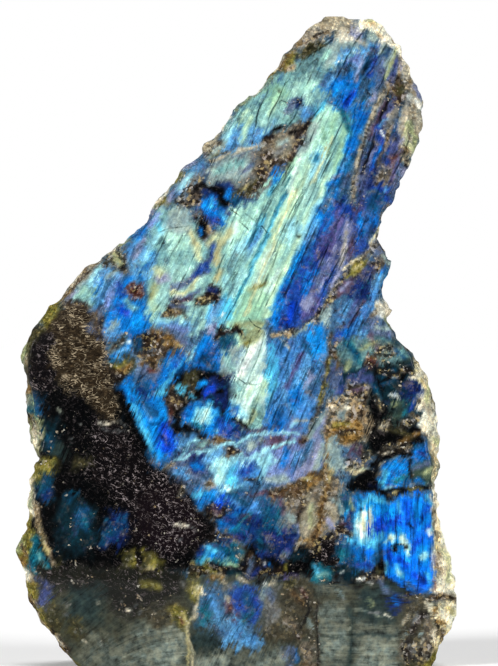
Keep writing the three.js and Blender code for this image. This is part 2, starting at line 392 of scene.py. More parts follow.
# Paints: screen red, green and blue, then the share of lamellae, specks, flakes, curled
# glints and dark mottling that each one carries.
# The blues, cyans and pale greens of the front are the stone's labradorescence: a sheen that shifts
# with the view, painted here as fixed colour.
PAINTS = {
    "drab": (138, 132, 114, 0.45, 0.25, 0, 0, 0.2),
    "speckle": (32, 30, 27, 0, 0.8, 0, 0, 0.2),
    "flare": (8, 112, 236, 0.9, 0, 0, 0, 0.2),
    "steel": (62, 98, 134, 1, 0.15, 0, 0, 0.8),
    "crust": (128, 122, 100, 0, 0.5, 0, 0, 0.3),
    "cap": (168, 161, 148, 0, 0.35, 0, 0, 0.2),
    # Cream, bone and sand: the pale crust of the rim, painted lighter to stand in for the light that
    # its edges catch.
    "cream": (254, 248, 224, 0, 0.15, 0, 0, 0),
    "bone": (232, 225, 206, 0.1, 0.2, 0, 0, 0),
    "apricot": (212, 186, 146, 0, 0.3, 0, 0, 0.1),
    "white": (236, 240, 236, 0.2, 0, 0, 0, 0),
    "sea": (124, 172, 170, 0.9, 0.05, 0, 0, 0.3),
    "pale sea": (158, 204, 196, 0.8, 0, 0, 0, 0.15),
    "mint": (164, 214, 198, 0.6, 0, 0, 0, 0.05),
    "leaf": (144, 192, 164, 0.6, 0, 0, 0, 0.1),
    "lime": (180, 216, 186, 0.6, 0, 0, 0, 0.05),
    "ice": (204, 236, 226, 0.6, 0, 0, 0, 0.1),
    "pale cyan": (150, 212, 226, 0.8, 0, 0, 0, 0.15),
    "cyan": (80, 182, 222, 0.9, 0, 0, 0, 0.2),
    "sky": (86, 150, 205, 1, 0, 0, 0, 0.4),
    "cornflower": (62, 124, 190, 1, 0, 0, 0, 0.4),
    "azure": (10, 108, 196, 1, 0, 0, 0, 0.35),
    "bright": (14, 136, 226, 1, 0, 0, 0, 0.15),
    "cobalt": (10, 64, 196, 1, 0, 0, 0, 0.3),
    "royal": (24, 62, 148, 1, 0.05, 0, 0, 0.7),
    "navy": (16, 36, 92, 0.9, 0.1, 0, 0, 0.7),
    "indigo": (52, 54, 118, 1, 0.1, 0, 0, 0.7),
    "violet": (82, 78, 132, 1, 0.1, 0, 0, 0.6),
    "periwinkle": (104, 126, 184, 0.9, 0, 0, 0, 0.5),
    "lavender": (132, 138, 174, 0.8, 0.1, 0, 0, 0.5),
    "slate": (84, 100, 132, 0.8, 0.2, 0, 0, 0.7),
    "mist": (142, 164, 164, 0.6, 0.1, 0, 0, 0.4),
    "deep sea": (14, 68, 98, 0.8, 0.1, 0, 0, 0.6),
    "dark sea": (10, 34, 44, 0.3, 0.2, 0, 0, 0.5),
    "turquoise": (24, 100, 120, 0.9, 0.05, 0, 0, 0.5),
    "gold": (196, 184, 132, 0.5, 0.1, 0, 0, 0.2),
    "straw": (198, 202, 156, 0.6, 0.1, 0, 0, 0.1),
    "ochre": (124, 94, 48, 0.4, 0.45, 0, 0, 0.4),
    "rust": (88, 50, 44, 0.1, 0.5, 0, 0, 0.4),
    "tan": (150, 132, 106, 0.25, 0.6, 0, 0, 0.3),
    "umber": (74, 62, 52, 0.1, 0.7, 0, 0, 0.5),
    "bark": (28, 22, 20, 0, 0.55, 0, 0, 0.4),
    "black": (2, 3, 4, 0, 0.12, 0, 0.15, 0),
    "olive": (118, 112, 50, 0.1, 0.4, 0, 0, 0.4),
    "moss": (62, 60, 38, 0.1, 0.4, 0, 0, 0.5),
    "sand": (220, 208, 168, 0.1, 0.4, 0, 0, 0.1),
    "ash": (104, 106, 106, 0.3, 0.3, 0, 0, 0.4),
    "flake": (40, 32, 22, 0, 0, 1, 0, 0),
    "curl": (9, 7, 9, 0, 0.1, 0, 1, 0),
    "shade": (58, 61, 52, 0, 0.05, 0, 0, 0.3),
    # Painted reflection: the pale grey veil over the lower facet and, palest, its arcs and a few
    # glints.
    "haze": (88, 94, 86, 0, 0, 0, 0, 0.2),
    "smoke": (122, 131, 122, 0, 0, 0, 0, 0),
    "dim sea": (92, 128, 132, 0.8, 0.1, 0, 0, 0.6),
    "rock": (94, 90, 80, 0.1, 0.8, 0, 0, 0.3),
    "brown": (88, 68, 44, 0.3, 0.5, 0, 0, 0.4),
    "taupe": (112, 103, 90, 0.35, 0.5, 0, 0, 0.3),
    "greige": (178, 170, 150, 0.35, 0.3, 0, 0, 0.1),
    "dusk": (66, 76, 124, 0.9, 0.2, 0, 0, 0.7),
    "wine": (82, 62, 82, 0.6, 0.3, 0, 0, 0.4),
    "petrol": (20, 70, 110, 0.8, 0.1, 0, 0, 0.5),
    "sage": (150, 160, 120, 0.5, 0.2, 0, 0, 0.3),
    "mire": (48, 66, 60, 0, 0.2, 0, 0, 0.3),
    "soot": (26, 27, 23, 0, 0.15, 0, 0.5, 0.2),
    "loam": (64, 61, 49, 0, 0.35, 0, 0, 0.3),
    "gloom": (36, 50, 50, 0, 0, 0, 0, 0.2),
    "grape": (17, 11, 15, 0, 0.15, 0, 1, 0.1),
}

# Marks, in painting order: paint | softness of its edge | half width, 0 for a filled
# patch | points, place across and height. A line that ends with a comma goes on in the
# next.
# Pale lines and spots on the black: painted glints.
MARKS = """
# top
sea|2.5|0|11 180,16 184,21 188,26 190,30 192,34 191,33 187,30 182,27 177,25 172,20 168,14 166,9 163,
2 160,-4 160,2 170
mist|2|0|25 189,29 193,34 194,38 193,40 190,36 186,31 184.6,27 184.6
dim sea|1.8|0|19 181.6,20 186,24 189,28 189.6,29 186,26 182.4,22 180.6
pale sea|2|0|16 173.6,18 179,22 182,26 181.6,26.6 177,23 174
mint|1.5|0|20 176.6,21 180.6,24.6 181,24.4 177
cyan|1.5|0|24 167.6,24.6 173,27.6 174,27.2 169,25.6 167
sky|1.5|0|19.6 167.6,20.6 173,24 173.4,23.6 168
slate|1.4|0|15 170.6,16.6 174.8,21.6 175.2,21.6 171.4,18 170
leaf|2|0|9 174,10.6 178.6,15 179,14.6 174.6,11.6 173
lime|1.3|.8|4.4 168.4,3 164.6,1.6 161
lime|1.3|.7|10.4 169.6,13.6 174.4
pale sea|2|0|6 163.6,7 168.4,11 169,11 164
sky|1.5|0|3.4 160,4.6 165,8.6 165.4,8 160.6
mint|1.2|.8|26.6 186.4,28.6 189
navy|.8|.5|19 171.4,20.6 173.4
black|.6|.4|19.4 173.6
black|.6|.4|20.8 172
bark|.6|.4|13 176.4
black|.6|.35|24.6 186.4
olive|1.2|0|13 182.6,15 187,17.6 190,19.6 189,18 185.6,15.4 182
brown|.8|.8|13.6 183.6,16 187.6
tan|.9|.9|15.8 183.2,17.8 184.2
olive|1|.7|6 177,9 180,12 182
brown|.8|.5|7.4 178.8,10.8 181.8
moss|1.2|0|18.6 187.4,21 190.6,26 192.2,28 191,24 188.6,21.6 187
azure|2|0|25.5 178.6,27.6 182,31 183.4,36 183.8,38 182,38 178,36 174,34 171,31.6 167.6,30.2 170.6,
31 174.6,28 176.2
steel|1.6|1.4|27 180,31.4 182.6,36 183.6
sky|1.2|.8|26.8 178,30 181
cobalt|1.4|.9|33.4 171.4,35.8 176.4
bright|1.2|.7|29.8 175.4,31.4 178.4
sky|1.6|0|37 186,38.6 191.4,42 192.6,45 190,43.6 186,41 182,38 182
sky|1.2|0|31 186,32.6 190,36.4 190.6,38.6 188.6,36.6 185.6
periwinkle|1.1|0|33.6 184.6,35 187.6,38 189.4,40.4 187.6,38.6 185,36 183.8
pale cyan|.9|.5|34.6 187,36.4 190
white|.5|.35|35.6 188.8
white|.5|.35|32 185.6
lavender|1|.7|41 188.4,39 184.6,36.6 180
petrol|1.2|.8|42.6 190,41 186.6,39 182
royal|1.2|.9|44.6 190.4,43 186,41.2 182
azure|1|.8|46 187,43.6 181.6,41.6 178
periwinkle|.9|.8|45.6 186.4,44.4 183.4
slate|1.6|0|42 181,45 186,48 191,51 188,50 183,47 178,43 176
mist|1.2|.9|46.6 192,44.8 189.4
mist|1.2|.9|46.4 184.6,49.6 190.6
sage|.8|.6|50 191,48 186,46 180.6
dusk|1|.8|49.4 187,48.2 182,46.8 178.6
tan|.9|.8|51.4 189.4,51 185,50.4 181
lavender|.9|.8|52 187.4,51.4 184
umber|1.4|0|45.4 173,46.6 178.6,49.6 181.4,54 181,54.4 176.6,52.6 173,49.6 171
moss|1|0|48 175,49 179,52 180,52.6 177,50.6 174.4
brown|.8|.8|47 177.6,49 175
ash|1.2|0|51.6 168.6,52.6 173.6,56 173.6,57 170,55 167.4
greige|1.4|0|49.6 158,50.2 166,51.4 170.6,54 171.6,54.6 166,53.6 159.4
straw|.7|.5|52.8 167.6,52.4 162.6,51.6 158.6
lavender|1.2|0|54.2 160.6,54.6 167.6,57 167.4,56.6 162
periwinkle|.9|0|54 176,54.6 178.6,57 178,57.2 174.6,55.4 174.4
white|.6|.9|53.3 174.6,54.4 174.3
pale cyan|.6|.6|56.2 171,56.6 170
bone|.8|.6|56.6 164,57.4 167
brown|1.2|0|48.6 155.4,49.4 160,54.4 160.4,54 156.4
sky|.9|.7|53.6 156.6,54.6 158.8
black|.4|.5|53.8 167.7
black|.4|.4|53.3 165.3
black|.4|.4|50 169
black|.5|.5|52 157.2
greige|1.4|.8|36.6 193.6,40 191.4
# right of the top
steel|2|0|34 158,34 165,36 171,40 176,45 180,45.6 175,42.6 169,40.6 163,39 157,36 156
azure|2|0|33.6 164,35.4 169.6,39 174,41.6 173.6,40.6 168,38 163,35.6 160.6
lavender|1|.6|41.2 173,43 175.8
dusk|2|0|38 150,40 159,43 168,46.6 175,50 172,51 160,50 153,48 146,46 140,43 133,38 132,37 141
wine|1.2|.8|46 172.6,43.6 167.4,41 162
royal|1.5|1|44.2 165.4,45 161.4
petrol|1.2|0|47.2 163.6,47.6 168,49.8 168.6,49.6 164
greige|.9|.8|47.6 168.8,49.6 171
sky|.7|.4|44.6 165.4,45.6 167,47.2 167.6
white|.6|.4|44.8 164,45.8 162
tan|.8|.4|42.4 160.8,44 159.4
tan|.8|.4|48.6 162,47 159.6,46 157
royal|1.6|0|41.2 152.4,42 159,44.6 161.4,46.6 160,46.4 154.6,44 152
azure|1.2|.8|43 155,44.6 159
wine|1.4|0|46 153,47 157,50 157,50.4 153.6
rust|.9|.5|47.6 155.6,49 156.6
taupe|1.3|0|43 148,43.5 151,45.5 153.5,49 153.6,48.6 150,47 147.5,45 146
navy|1.2|0|40 146.4,41 150.6,43.4 150,43 146.4
royal|1.6|0|39.6 142.6,41.4 147.4,46 148,48.6 147,47 142.6
ash|.9|.5|40.6 145,43 145.6
sky|.8|.5|45 144.6,46.4 147
periwinkle|.9|.6|52.6 153.4,50 149,47.4 144.4
sand|.8|.5|52 154.4,53.6 154.8
royal|1.2|0|46 141.4,47 147.6,49.4 148.6,48.6 144,47.4 141
petrol|1.6|0|40 139.4,40.6 144.6,45 145,45.4 140.6,43 138.6
azure|1.5|0|41.4 134.6,42.2 140,45.4 140,44.8 135.6
azure|1.5|0|36.4 132.2,37.2 138.6,40.4 139,40.8 133.6,38.6 131
violet|1.2|.9|36.2 137,38 141
wine|1.3|0|34.2 135.2,35 140.4,37.4 141,37.4 136.6
rust|1|.6|35 137,36.4 139.6
slate|1.5|0|42 124.6,42 130.6,46 131,46.8 127,45 124
sand|.9|.6|44.6 134.4,42.6 131,41 129
brown|.9|.8|44.2 120.6,45.4 125.4
taupe|1.5|.9|46.4 179,44 173,42 169,40 164,38.5 160,37.5 154,36.5 148,35.4 142.6
greige|.8|.4|45 175.6,42.6 170.6,41 166.4
greige|.8|.4|38 157.4,37.2 152.6
umber|.9|.5|42 149,45 157,48 166
navy|.8|.6|40.4 146,43 152,46 159.6
lavender|.8|.4|39 149,42.6 158.6
black|.8|.4|39 151,42 160.4
black|.8|.4|44.4 167,47 174
tan|.8|.3|43.6 152,46 160,48.6 167.4
violet|.9|.6|47.4 149,50 155
ash|1.3|1|46.8 165.4,49.4 170
# mint band
mint|2|0|-11 103,-9.6 110,-8 117,-7.4 124,-7 131,-4 136.4,0 139.4,5 142.6,9 147,14 152,18 156.6,20 160,
18 150,12 138,6 122,0 106
mint|1.5|0|24 168,28 172,32 170,35 166,35 160,32 153,29 147,26 140,22 131,17 120,12 109,8 103,2 98,
-4 97,-6 102,-3 103,0 112,4 121,8 131,11 140,14 147,18 155,20 160,22 165
leaf|2.5|0|27 160,29 168,33 170,35 166,34 158,31 152,28 152
cyan|1.2|.7|35.6 164,34 157.4,31.4 151
cyan|1.2|.6|29 145.4,25.6 138.4,22 131
sea|1.4|.8|32 168,31 161
leaf|2|0|-2 105,1 112,4 117,9 119,11 113,9 106,4 104
pale sea|2|0|19 146,22 154,26 158,28 153,25 145,21 139
sea|1.5|1|31 160,28.4 154,25 147.6
lime|1.5|.9|19 152,15 142,11 132,7 121
lime|1.5|.8|23 155,19 146,16 138
lime|1.5|.8|14 130,10 120,7 113
lime|1.2|.6|28 150,24 142,20 133
ice|1.5|.7|21 158,18 151,15 144
ice|1.5|1|11 128,8 121,6 116
ice|1.2|.8|13 121,10.6 115
pale cyan|1.5|0|23 150,24 158,28 160,28 154,26 149
cyan|1|.6|24.6 155.5,25.4 157.3
pale cyan|1.5|0|14 131,17 138,20 136,21 131,18 127
pale cyan|1.5|1|26 143,23 136,20 130,18 125
straw|1|.4|29.6 162,26.6 155,23.4 148
sage|1.3|.8|4.4 115.4,9 117.2
olive|.9|.4|5.5 115.6,8.5 116.8
sage|1.2|1|.6 104.4,5 105,9 104.6
sea|1.2|.6|-5 110,1 122,8 136,14.6 149
cyan|1|.5|-2.6 107,4 120,11 135,15 145
turquoise|.8|.25|0 112,6 126,12 139,17 151
lime|1.2|.7|9 108,14 120,19 132
straw|.9|.4|3 108,8 120,13 133,18 146
sea|1|.4|14 124,19 135,24 147
black|.5|.4|18.6 131.8
mist|1.4|0|17.4 155,20 160,22.4 164.6,24.4 168,25.6 166,23.6 161,20.6 155.6
slate|1|.6|18 157,20.6 161.6
turquoise|1.2|1|32.6 170.6,34.6 165.4
azure|1.2|1.1|29.8 148.4,26.8 140
azure|1.4|1|-8.4 105,-4.4 112
# cyan streaks left of the band
pale cyan|1.8|0|-10 103.6,-7 111,-4 119,0 127,2 131,6 137,8.6 136.6,7 131,3 122,-1 112,-3.6 104
straw|1.8|1.2|-1.4 134,-4.6 130.6,-5.8 126
ice|1.4|1|0 135,-2.6 129.6
sea|1.4|.8|3 138,8 143.6,12 148
cyan|1.2|.8|8.6 138,6 133,4.6 129.6
sky|1.1|.7|7.4 133.6,4.6 128
sea|1.8|1.4|2 124.6,-1 119,-3 114
dim sea|1.4|.7|.6 126,-2.6 120.6
cyan|1.2|.8|13.4 150,10.4 145
sea|1.2|.7|14.6 149,10.6 142.6,8.4 139
cyan|1.4|1|-5.6 112,-8 107
ice|1.2|.8|-3 108.6,-4.6 105.6
azure|.8|.4|15 152,12 148
leaf|1|.8|14 150,16 153,18 156
# azure stripe right of the band
azure|1.4|1.7|36 161,34.6 156,32 150,29.5 144,26 137,22.5 130,19 124,16 117,13.5 111
bright|1|.8|26 137,22.5 130.5,19.5 125,17 120
sky|1|.7|24.5 134,21 127
petrol|1.2|.8|36.4 157,34.4 152,32.4 147.6
lavender|.9|.5|30.5 150,32 150.6
slate|1.2|.8|34.6 150.6,33 146.6
sky|1|.8|32.4 153,34 156
sky|.8|.5|28 143,30 146.4
steel|1.4|1|26.6 140,30 147
# violet zone
royal|2|0|31 144,36 142,38 134,41 129,38 123,33 118,29 112,25 106,20 102,14 103,12 107,14 112,18 119,
22 127,26 135,29 140
violet|2|0|24 127,27 134,30 140,34 138,31 130,27 124
dusk|1.8|0|29 128,32 136,36 136,38 130,35 124,31 121
indigo|1.8|0|23 117,25 125,28 131,31 130,29 122,26 116
azure|1.2|0|20.4 115,22.4 121,24.6 122,24 116.4,22 114
royal|1.2|0|14 104,15.4 112,19.6 112.4,20.6 107,18 103.4
cobalt|1.2|1|16 105.4,17 111
azure|1.2|0|10.4 104,11.4 111,14.4 111.4,14 105
violet|1.6|0|20 106,20 112,23.4 117,26.4 115,24.6 109,22 105
lavender|1.2|0|19.8 110.4,20.6 114.6,23.8 114.4,23.4 110.6,21 109
slate|1.4|.8|27.4 124,25.6 119.4,24.8 115
lavender|1.3|1|34.6 136,34 130,33 125,31.4 120,29.4 116
greige|1|.4|34 133,33.4 127.6,32.4 123
lavender|.9|.5|31 129,28.4 122,25.6 115
wine|1.2|.7|36 131,34.6 125
navy|1|.4|24.5 134,21 127,17.5 119.5,14.5 113
violet|1|.8|29 127,31 133,32.4 137
azure|1.2|.7|27.4 133,29.4 137.6
sky|1.4|1|21.4 130,24.8 136
# vein under the violet
rock|1.4|1|43 129,40 126.5,36 123,33 119,30 115,27.6 111,24.6 106.6,21.6 104,18 101.8,14.6 101.4,
11.6 101
mist|1.2|0|25 105,26 109.4,29 111,30 107.6,27.6 104.6
brown|.7|.5|31.6 114,28.2 111.2
gold|.6|.5|28.8 112.2,29.2 111.8
straw|.6|.4|18.4 101.6,20.8 103,23 105
tan|.8|.6|12 101,16 101.4
white|.4|.3|20 102.8
bark|.6|.5|16.4 102.6,18.2 103.2
bark|.6|.4|24.6 107.8,26 109.6
sand|.6|.4|33 121.5,36 124,38 125
umber|1.4|0|35.6 119.4,40 124.5,45 125.5,44.5 121,41 118,37 117.5
olive|1|0|34 119.6,36 123.6,40 125,40.6 122.6,37 119.4
gold|.6|.5|36.4 121.6,38 122.8
dusk|1.4|0|38.4 119.4,40 123.6,43 123.6,42.4 119.6
navy|1.4|0|34.6 113,37 119,41 118.8,42 115,39 111.5,36 110.6
wine|1.2|0|30.6 113.4,33 118.4,36 119.4,36 115,34 112.5
lavender|.8|.5|32.6 115.4,34.6 117.6
# right edge under it
cornflower|1.5|0|39.6 108,42 115,44 119,46 123.5,47.5 122,45 117,43.5 112,41 106.4
azure|1.2|.7|44 117,46 121.6
sky|1|.6|42.5 115,44.5 119.5
steel|1.5|0|29.5 101,29.5 109,31 113.5,34.5 114,35 110,33 105,31 100.5
cornflower|1.5|0|32 100,35 107,38 112,41 113,42 110,39 104,36 99
dusk|1.2|.8|34.6 108,37 112
slate|1.4|0|38.6 104,41 107.5,45 106.5,49 102,48 98.5,44 100.6,40.5 102
mist|1|.7|43 103.6,46.4 104
sky|1.2|0|36.6 99,37.4 102.8,40.4 103,40 98.8
royal|1.4|0|30 98.6,31 104,34.6 105,35.4 101,33.6 98
azure|1.1|.8|33.6 101.4,36.4 107
wine|.9|.5|39 112,36.5 107.5,34.5 104
white|.9|0|42.8 109,43.6 111.6,46 112.4,48.6 110.4,47.5 107,44.4 106.4
greige|.8|.7|46.6 107.6,48 109.4
sand|.8|.5|42.5 107.5,43.2 110.5
sky|1.4|.8|31.6 106,35 111.6
taupe|1|.6|42 107,44 110
# dim right middle
dark sea|1.8|0|30 97,36 101,40 98,44 101,50 101,54 96,57 91,56 84,57 76,55 71,50 67,46 64,42 65,39 60,
35 58,34 62,38 68,41 74,38 79,32 84,28 88,28 93
dim sea|1.8|0|30 94,32 100,38 101,46 101.6,51 99,54 95,50 93.6,42 94,36 92
turquoise|1.4|.7|35 99,37.6 93.6
wine|1.4|.8|41.6 101,43.6 97
sage|1.2|.5|38 97,43 99
rock|1.4|0|42 95,44 99,49 99.6,50 96,46 94.4
deep sea|1.4|.9|34 98.4,36.6 95
brown|1.2|.9|30 96,31.4 91
tan|.7|.4|30 97.6,31.4 99
sage|.9|.7|33.6 90.6,34.6 93
rust|1.3|0|38.6 91.4,39.4 95,43 95,43.6 92.4,41 91
bark|.8|.5|40 92.6,42.6 92
ochre|.7|.4|41 94.6,43 94
petrol|1.2|.7|48.6 97.6,52 94.6
sea|1|.3|50 97.4,53 95
black|1.8|0|42 86,42.6 91,46 93,50 92.4,52 89,50 86,46.6 82,47 78,50 74,56 74,58 71,56 68,50 66,45 64.4,
42 65,40 68,39.6 74,41 78,40.6 82
black|1.5|.8|42.6 90,42 84,43 79
moss|1.2|.7|48 73,54 70.4
white|.5|.4|48.4 88.4,49.2 89
tan|.6|.4|51 90.4
navy|1.2|0|28.4 84.6,28.6 90.6,32 91,32.4 87,31.4 84
royal|1|.8|31.6 84,33.6 86
dusk|1.5|0|34 85.6,35 90.4,42 90.4,42.4 87,38 85
rock|1.3|0|31.5 82.4,34 86.6,40.5 86.6,40.8 82,36 80,32.5 80
wine|1|.8|35 83.6,39 84.6
tan|.8|.6|34.6 81.4,37 82
dark sea|1.4|0|44 82.6,46 87.6,52 88,53.5 83,50 79.5,46.6 80
mire|1.4|0|47 76,48 82,52 82,53 77,50 74
white|.5|.35|47.2 82.8,48.6 83.4,49.6 82.2
sage|.8|.4|47.8 80,49 81.2
turquoise|1.4|0|51.4 78,52 81.4,54.4 81,54 77.6
navy|1.3|0|50 83,51 88,54.6 88.2,57.4 87,58 83.5,54 82
royal|1|.6|54 78.6,55.2 82
olive|1|.7|55.6 88,57.6 87
sand|1|0|54.5 89,54.5 92,56 93.5,58 91,57 88.5
cream|.6|.7|53.6 88,55.4 89.2
gold|.6|.7|55.2 91.4,56.4 90.6
rock|1.3|0|43.4 71.4,44.4 75.4,47.4 75,46.6 71.2
greige|.8|.6|44.4 73,46.4 74.2
ochre|.9|.5|50 68.8,53 70.2,56 71.4
tan|.8|.5|50 67,53.4 67.6
black|.5|.5|58 70.6,59.6 70.6
taupe|1.2|0|55.6 79,56 83,58.8 83,58.6 79.6
navy|1.2|.9|53.6 86,56.4 84.6
deep sea|1.4|.8|44 89,48.6 91
gloom|1.4|.8|50 92.4,53.6 94
speckle|1.1|.8|44 90.4,49 89.4
speckle|1.1|.7|51 91,54 89.6
petrol|1.2|.5|45 86.4,49 87.6
dark sea|1.3|.7|48.4 86.8,52 84
gloom|1.3|.8|48.6 78,52.4 79.4
tan|.8|.5|54 77,56 75.4
rock|1.2|.8|46 67,51.6 68
rock|1.2|.9|51 74,55.4 75.6
deep sea|1.3|.8|42 86.6,43.6 82
rock|1|.7|43 82,44.6 79
# cornflower block and the pale block beside it
cornflower|1.8|0|9 100,15 99,21 103,27 105,28.5 101,28 95,27 89,25 81,23 75,18 72,12 72,9 74,9 80,10 88,
11 94
sky|2|0|14 84,16 91,19.6 97,24 96,24 91,21 85,18 79,14.6 78
bright|1.6|0|22 97,23 104,27 104.5,28 100,27 96,24 94.5
petrol|1.2|.9|21.4 99,22.6 95.6
cyan|1.6|0|9 88,9.5 98,12 99,12.5 93,12 86,10 79
azure|1.5|0|16 81,17 86,20 87,20 82,18 78.5
azure|1.5|0|11 73,11 78,14 79,15 75,14 72.6
steel|1.6|0|21 84,23 92,26.6 94,26 87,23.6 81
dusk|1.2|.7|19.6 95,17.6 90,16 86
lavender|1.2|.8|23 90,21.4 85.4
periwinkle|1.2|0|15 72,16 76,19 77,19 73.5
violet|1|.6|20 96,18 91,16.5 87
pale cyan|.9|.7|17.2 74,18.6 75.2
greige|.8|.4|14.6 98.8,16.4 97.4
greige|.8|.4|18 75.6,22 75.6
ice|1.6|0|9 103,9 97,8 91,10 86,9.5 78,7 73,2 74,0 78,-1.5 83,0 88,2 93,4 99,6 102
ice|1|1.4|7.6 101,5 96,2.5 91,1.2 87
white|1.5|.9|6.6 99,4 94,2 90
sage|1.2|0|1.6 98,1.6 101.5,4 104,8.6 104,8.4 101,4.5 98
olive|.9|.5|3 99,4.4 100
lime|1.3|.9|9 88,8 84,6.5 81
lime|.9|.6|4.6 86,3.4 82
mist|1.5|0|-4.5 91,-4.4 97.5,-1 99.6,2.4 98,1.6 93,-.4 89,-3 88.6
pale sea|1.2|1|-2.6 95,-.6 91
sea|1.4|0|-1.5 83,0 87.5,3 87,1 82
sea|1.4|0|3 74,5 81,9 80,9 75,6 73
sage|1|.6|3.6 74,5.6 78
pale cyan|1|.9|-1 81,1 79,2.6 77
# left of the band: pale field
sea|2.5|0|-24 140,-20 141.5,-12 137,-9 130,-5 134,-2 136,-2 128,-5 120,-8 112,-12 104,-20 105,-26 103,
-28 108,-27 116,-30 122,-26 130,-26 136
pale sea|2|0|-24 131,-22 138,-18 139,-12 134,-12 128,-18 127
pale cyan|1.5|1.2|-23 133,-20 137,-16 139
pale sea|2.5|0|-26 108,-26 116,-20 124,-13 124,-8 116,-10 108,-18 106
mint|1.6|1|-17.6 131,-15 127
straw|1.5|.8|-20 139,-17.5 137
cyan|1.5|.9|-25 137.5,-23.5 134.5
azure|1.8|0|-31 128,-32 132.5,-29 134.6,-26.5 132,-28 128
sky|1.5|0|-31 121,-30 127.5,-26 129,-24 125,-25 121,-28 119
azure|1.2|.8|-28.5 122,-26 127
sea|1.4|0|-31 124,-29 126.5,-27 124.5,-29 121.5
gold|1.5|.8|-14.4 134,-13.6 131.6,-12 129
straw|1.5|.8|-12.5 128,-11 125
gold|1.5|.8|-2 133,-4.6 130,-5.6 126.5,-5.8 123.6
straw|1.8|1|-2 133.5,-4.5 130
straw|1.8|1.2|-6.5 132,-8 130
straw|2|1.4|-24 121.5,-22.5 120
gold|1.2|.6|-5 121,-6 118
lime|1.8|1.2|-25 115,-26 110
lime|1.5|1|-27.6 108.6,-24.6 109.6
lavender|1.5|1|-23.6 118.6,-21 119
sage|1.4|1|-26 113,-24.6 117
cyan|1.5|0|-4.6 104,-6 110,-3 114,0 111,-1 106
white|.8|.5|-4.2 107.4,-3.6 108
sky|1.8|0|-24 107,-15 107,-12 105,-13 102.5,-18 103.5,-24 104
slate|1.8|0|-25 103,-20 105,-15 105,-13 101,-14 98.6,-19 98,-23 100,-25 101
periwinkle|1.4|.9|-20 104.4,-15.5 103.6
pale cyan|1|.7|-24 106,-21 106
slate|1.2|.9|-6.8 129.5,-7.8 125.5,-9 121.5
royal|1|.6|-7 129,-7.6 125,-8.4 122
slate|1.4|1.2|-8.6 124,-12 120,-16 117.4,-19.6 116
royal|1|.6|-8 123.4,-11 121.4,-13.4 119
straw|1|.6|-20 114.8,-16.5 114.2,-13.6 115.6,-12.4 118.2
white|.8|.3|-19 113.4,-14.6 113.2
slate|1|.7|-20 112.6,-16 112.6,-13 113.8,-11 115
lavender|1.4|0|-8.8 101,-8.6 105,-5 105.6,-4 102.6,-6 100.6
white|.5|.4|-7.5 104.5
sky|1.6|1.1|-8 105.6,-4.8 112
pale sea|1.4|1|-13 102,-9.6 105.4
# blue eye and the matrix round it
navy|1.5|0|-12 147,-8 148.5,-4 148.6,-1 149,1.5 146,5 144,1 142,-3 139.5,-6 136,-9 135.6,-11.5 139,
-12.4 143
petrol|1.2|0|-5 140.4,-4 146,0 146.4,3 144,1 141
azure|1|0|-3.6 145,-1.6 147.4,0 145.4,-1.6 142.6
azure|1.2|0|-10.4 136.6,-10 144,-7 145,-4.8 142,-3 139,-3 136.6,-6 135.4
bright|1|1|-7.6 143,-8.4 140.6
royal|1|.9|-8.4 137.6,-5.4 136.4
cyan|.8|.5|-7.2 142.6,-7.4 140.6
cyan|.9|.6|-4.2 138.8,-3.6 137
deep sea|.9|.8|-4.8 142.6,-1.6 141.4
black|1|1.1|-11 147.6,-7.6 147,-4.8 145.6,-4.2 143,-2.8 141.6
mist|1.6|0|-22 134,-20.6 140.6,-15 141,-13.4 137,-14.6 133.6,-18 132.6
umber|1.4|0|-13.6 137.6,-11 139,-8 137.4,-7 134.4,-9 131.6,-10 130.4,-12 132.6,-12.6 135.4
black|1|0|-12.6 137,-10 137.6,-8.6 136,-8.8 133,-10 130.8,-12 133
azure|.6|.6|-11.2 134,-10.8 133
tan|.8|.6|-8 134.6,-7.6 133
# matrix band, upper left
sky|1.4|0|-4.6 158,-2.6 163.6,0 166,3 166,.6 161,-2 157.6
taupe|1.6|0|22.6 167.4,19 168,15 165,10 164,7 161.4,6 158,8 155.6,7 151,4 149,0 148,0 144.6,5 144,
8.4 146,11 150,13.6 154,17 155.4,19.4 159,21.6 163.4
bark|1.3|.8|18.4 162,20.6 165,22.8 167.2
bark|1.1|.7|8 161,11 162.8
umber|1.4|0|12 150,13.4 154.4,17 156.4,19.6 160,18 156,15 151.6
umber|1.4|0|8 150,9 157,11.8 158.6,12.4 153.6,10.6 150
gold|.7|.3|9.6 155.4,10.4 153
black|.7|.5|5.6 160.6,8 162,11.4 164.6,14 165.6
black|.6|.3|11 159.4,14.4 157.4
drab|1.5|0|11 157.4,12.6 162.6,17.6 163,18 159,14.6 156.6
mist|1|.7|13 160,15.6 161.4
black|.7|.6|16.6 163.6,18.4 164.4
moss|1.3|0|0 144.2,1.6 149,6.6 150,9 149.4,6.4 145.6
bark|.8|.6|5.6 146,8.4 149
gold|.8|.5|2.4 146.4,3.6 147.6
ash|1.5|0|-9.6 152,-6 155,0 157.6,5 159,8 158.8,8 154,7.4 150,5 148,0 147.6,-4 148,-8 149
mist|2|0|-9 151.6,-6 154.6,0 157,4 157.4,5.6 153,2 149.6,-4 148.8,-8 150
sea|1.3|1|-6 151.6,-2 153.6,1.6 154.6
taupe|1.4|0|4.8 151.6,5.6 157,8 157.4,8 153.6,6.2 151.2
greige|.8|.5|-6 155.2,-1 157.6,3.6 159,8.6 160.2
brown|.7|.4|-4 157.4,1.6 159.6
sky|1.4|0|4 160.6,8 165,12 167.4,10.4 164.4,7 161.6
sky|1|.8|-2 158.4,1 160
sea|1.3|.9|-2.4 164,1.4 170.4
pale cyan|1|.6|-4 161,-.6 166
lime|1|.7|1 167.4,3.6 171
sea|1.2|.9|3 172.4,7.4 176.6
azure|1.2|0|10.6 149.4,12.4 152.4,15.4 155,14.4 151.6,12 148.8
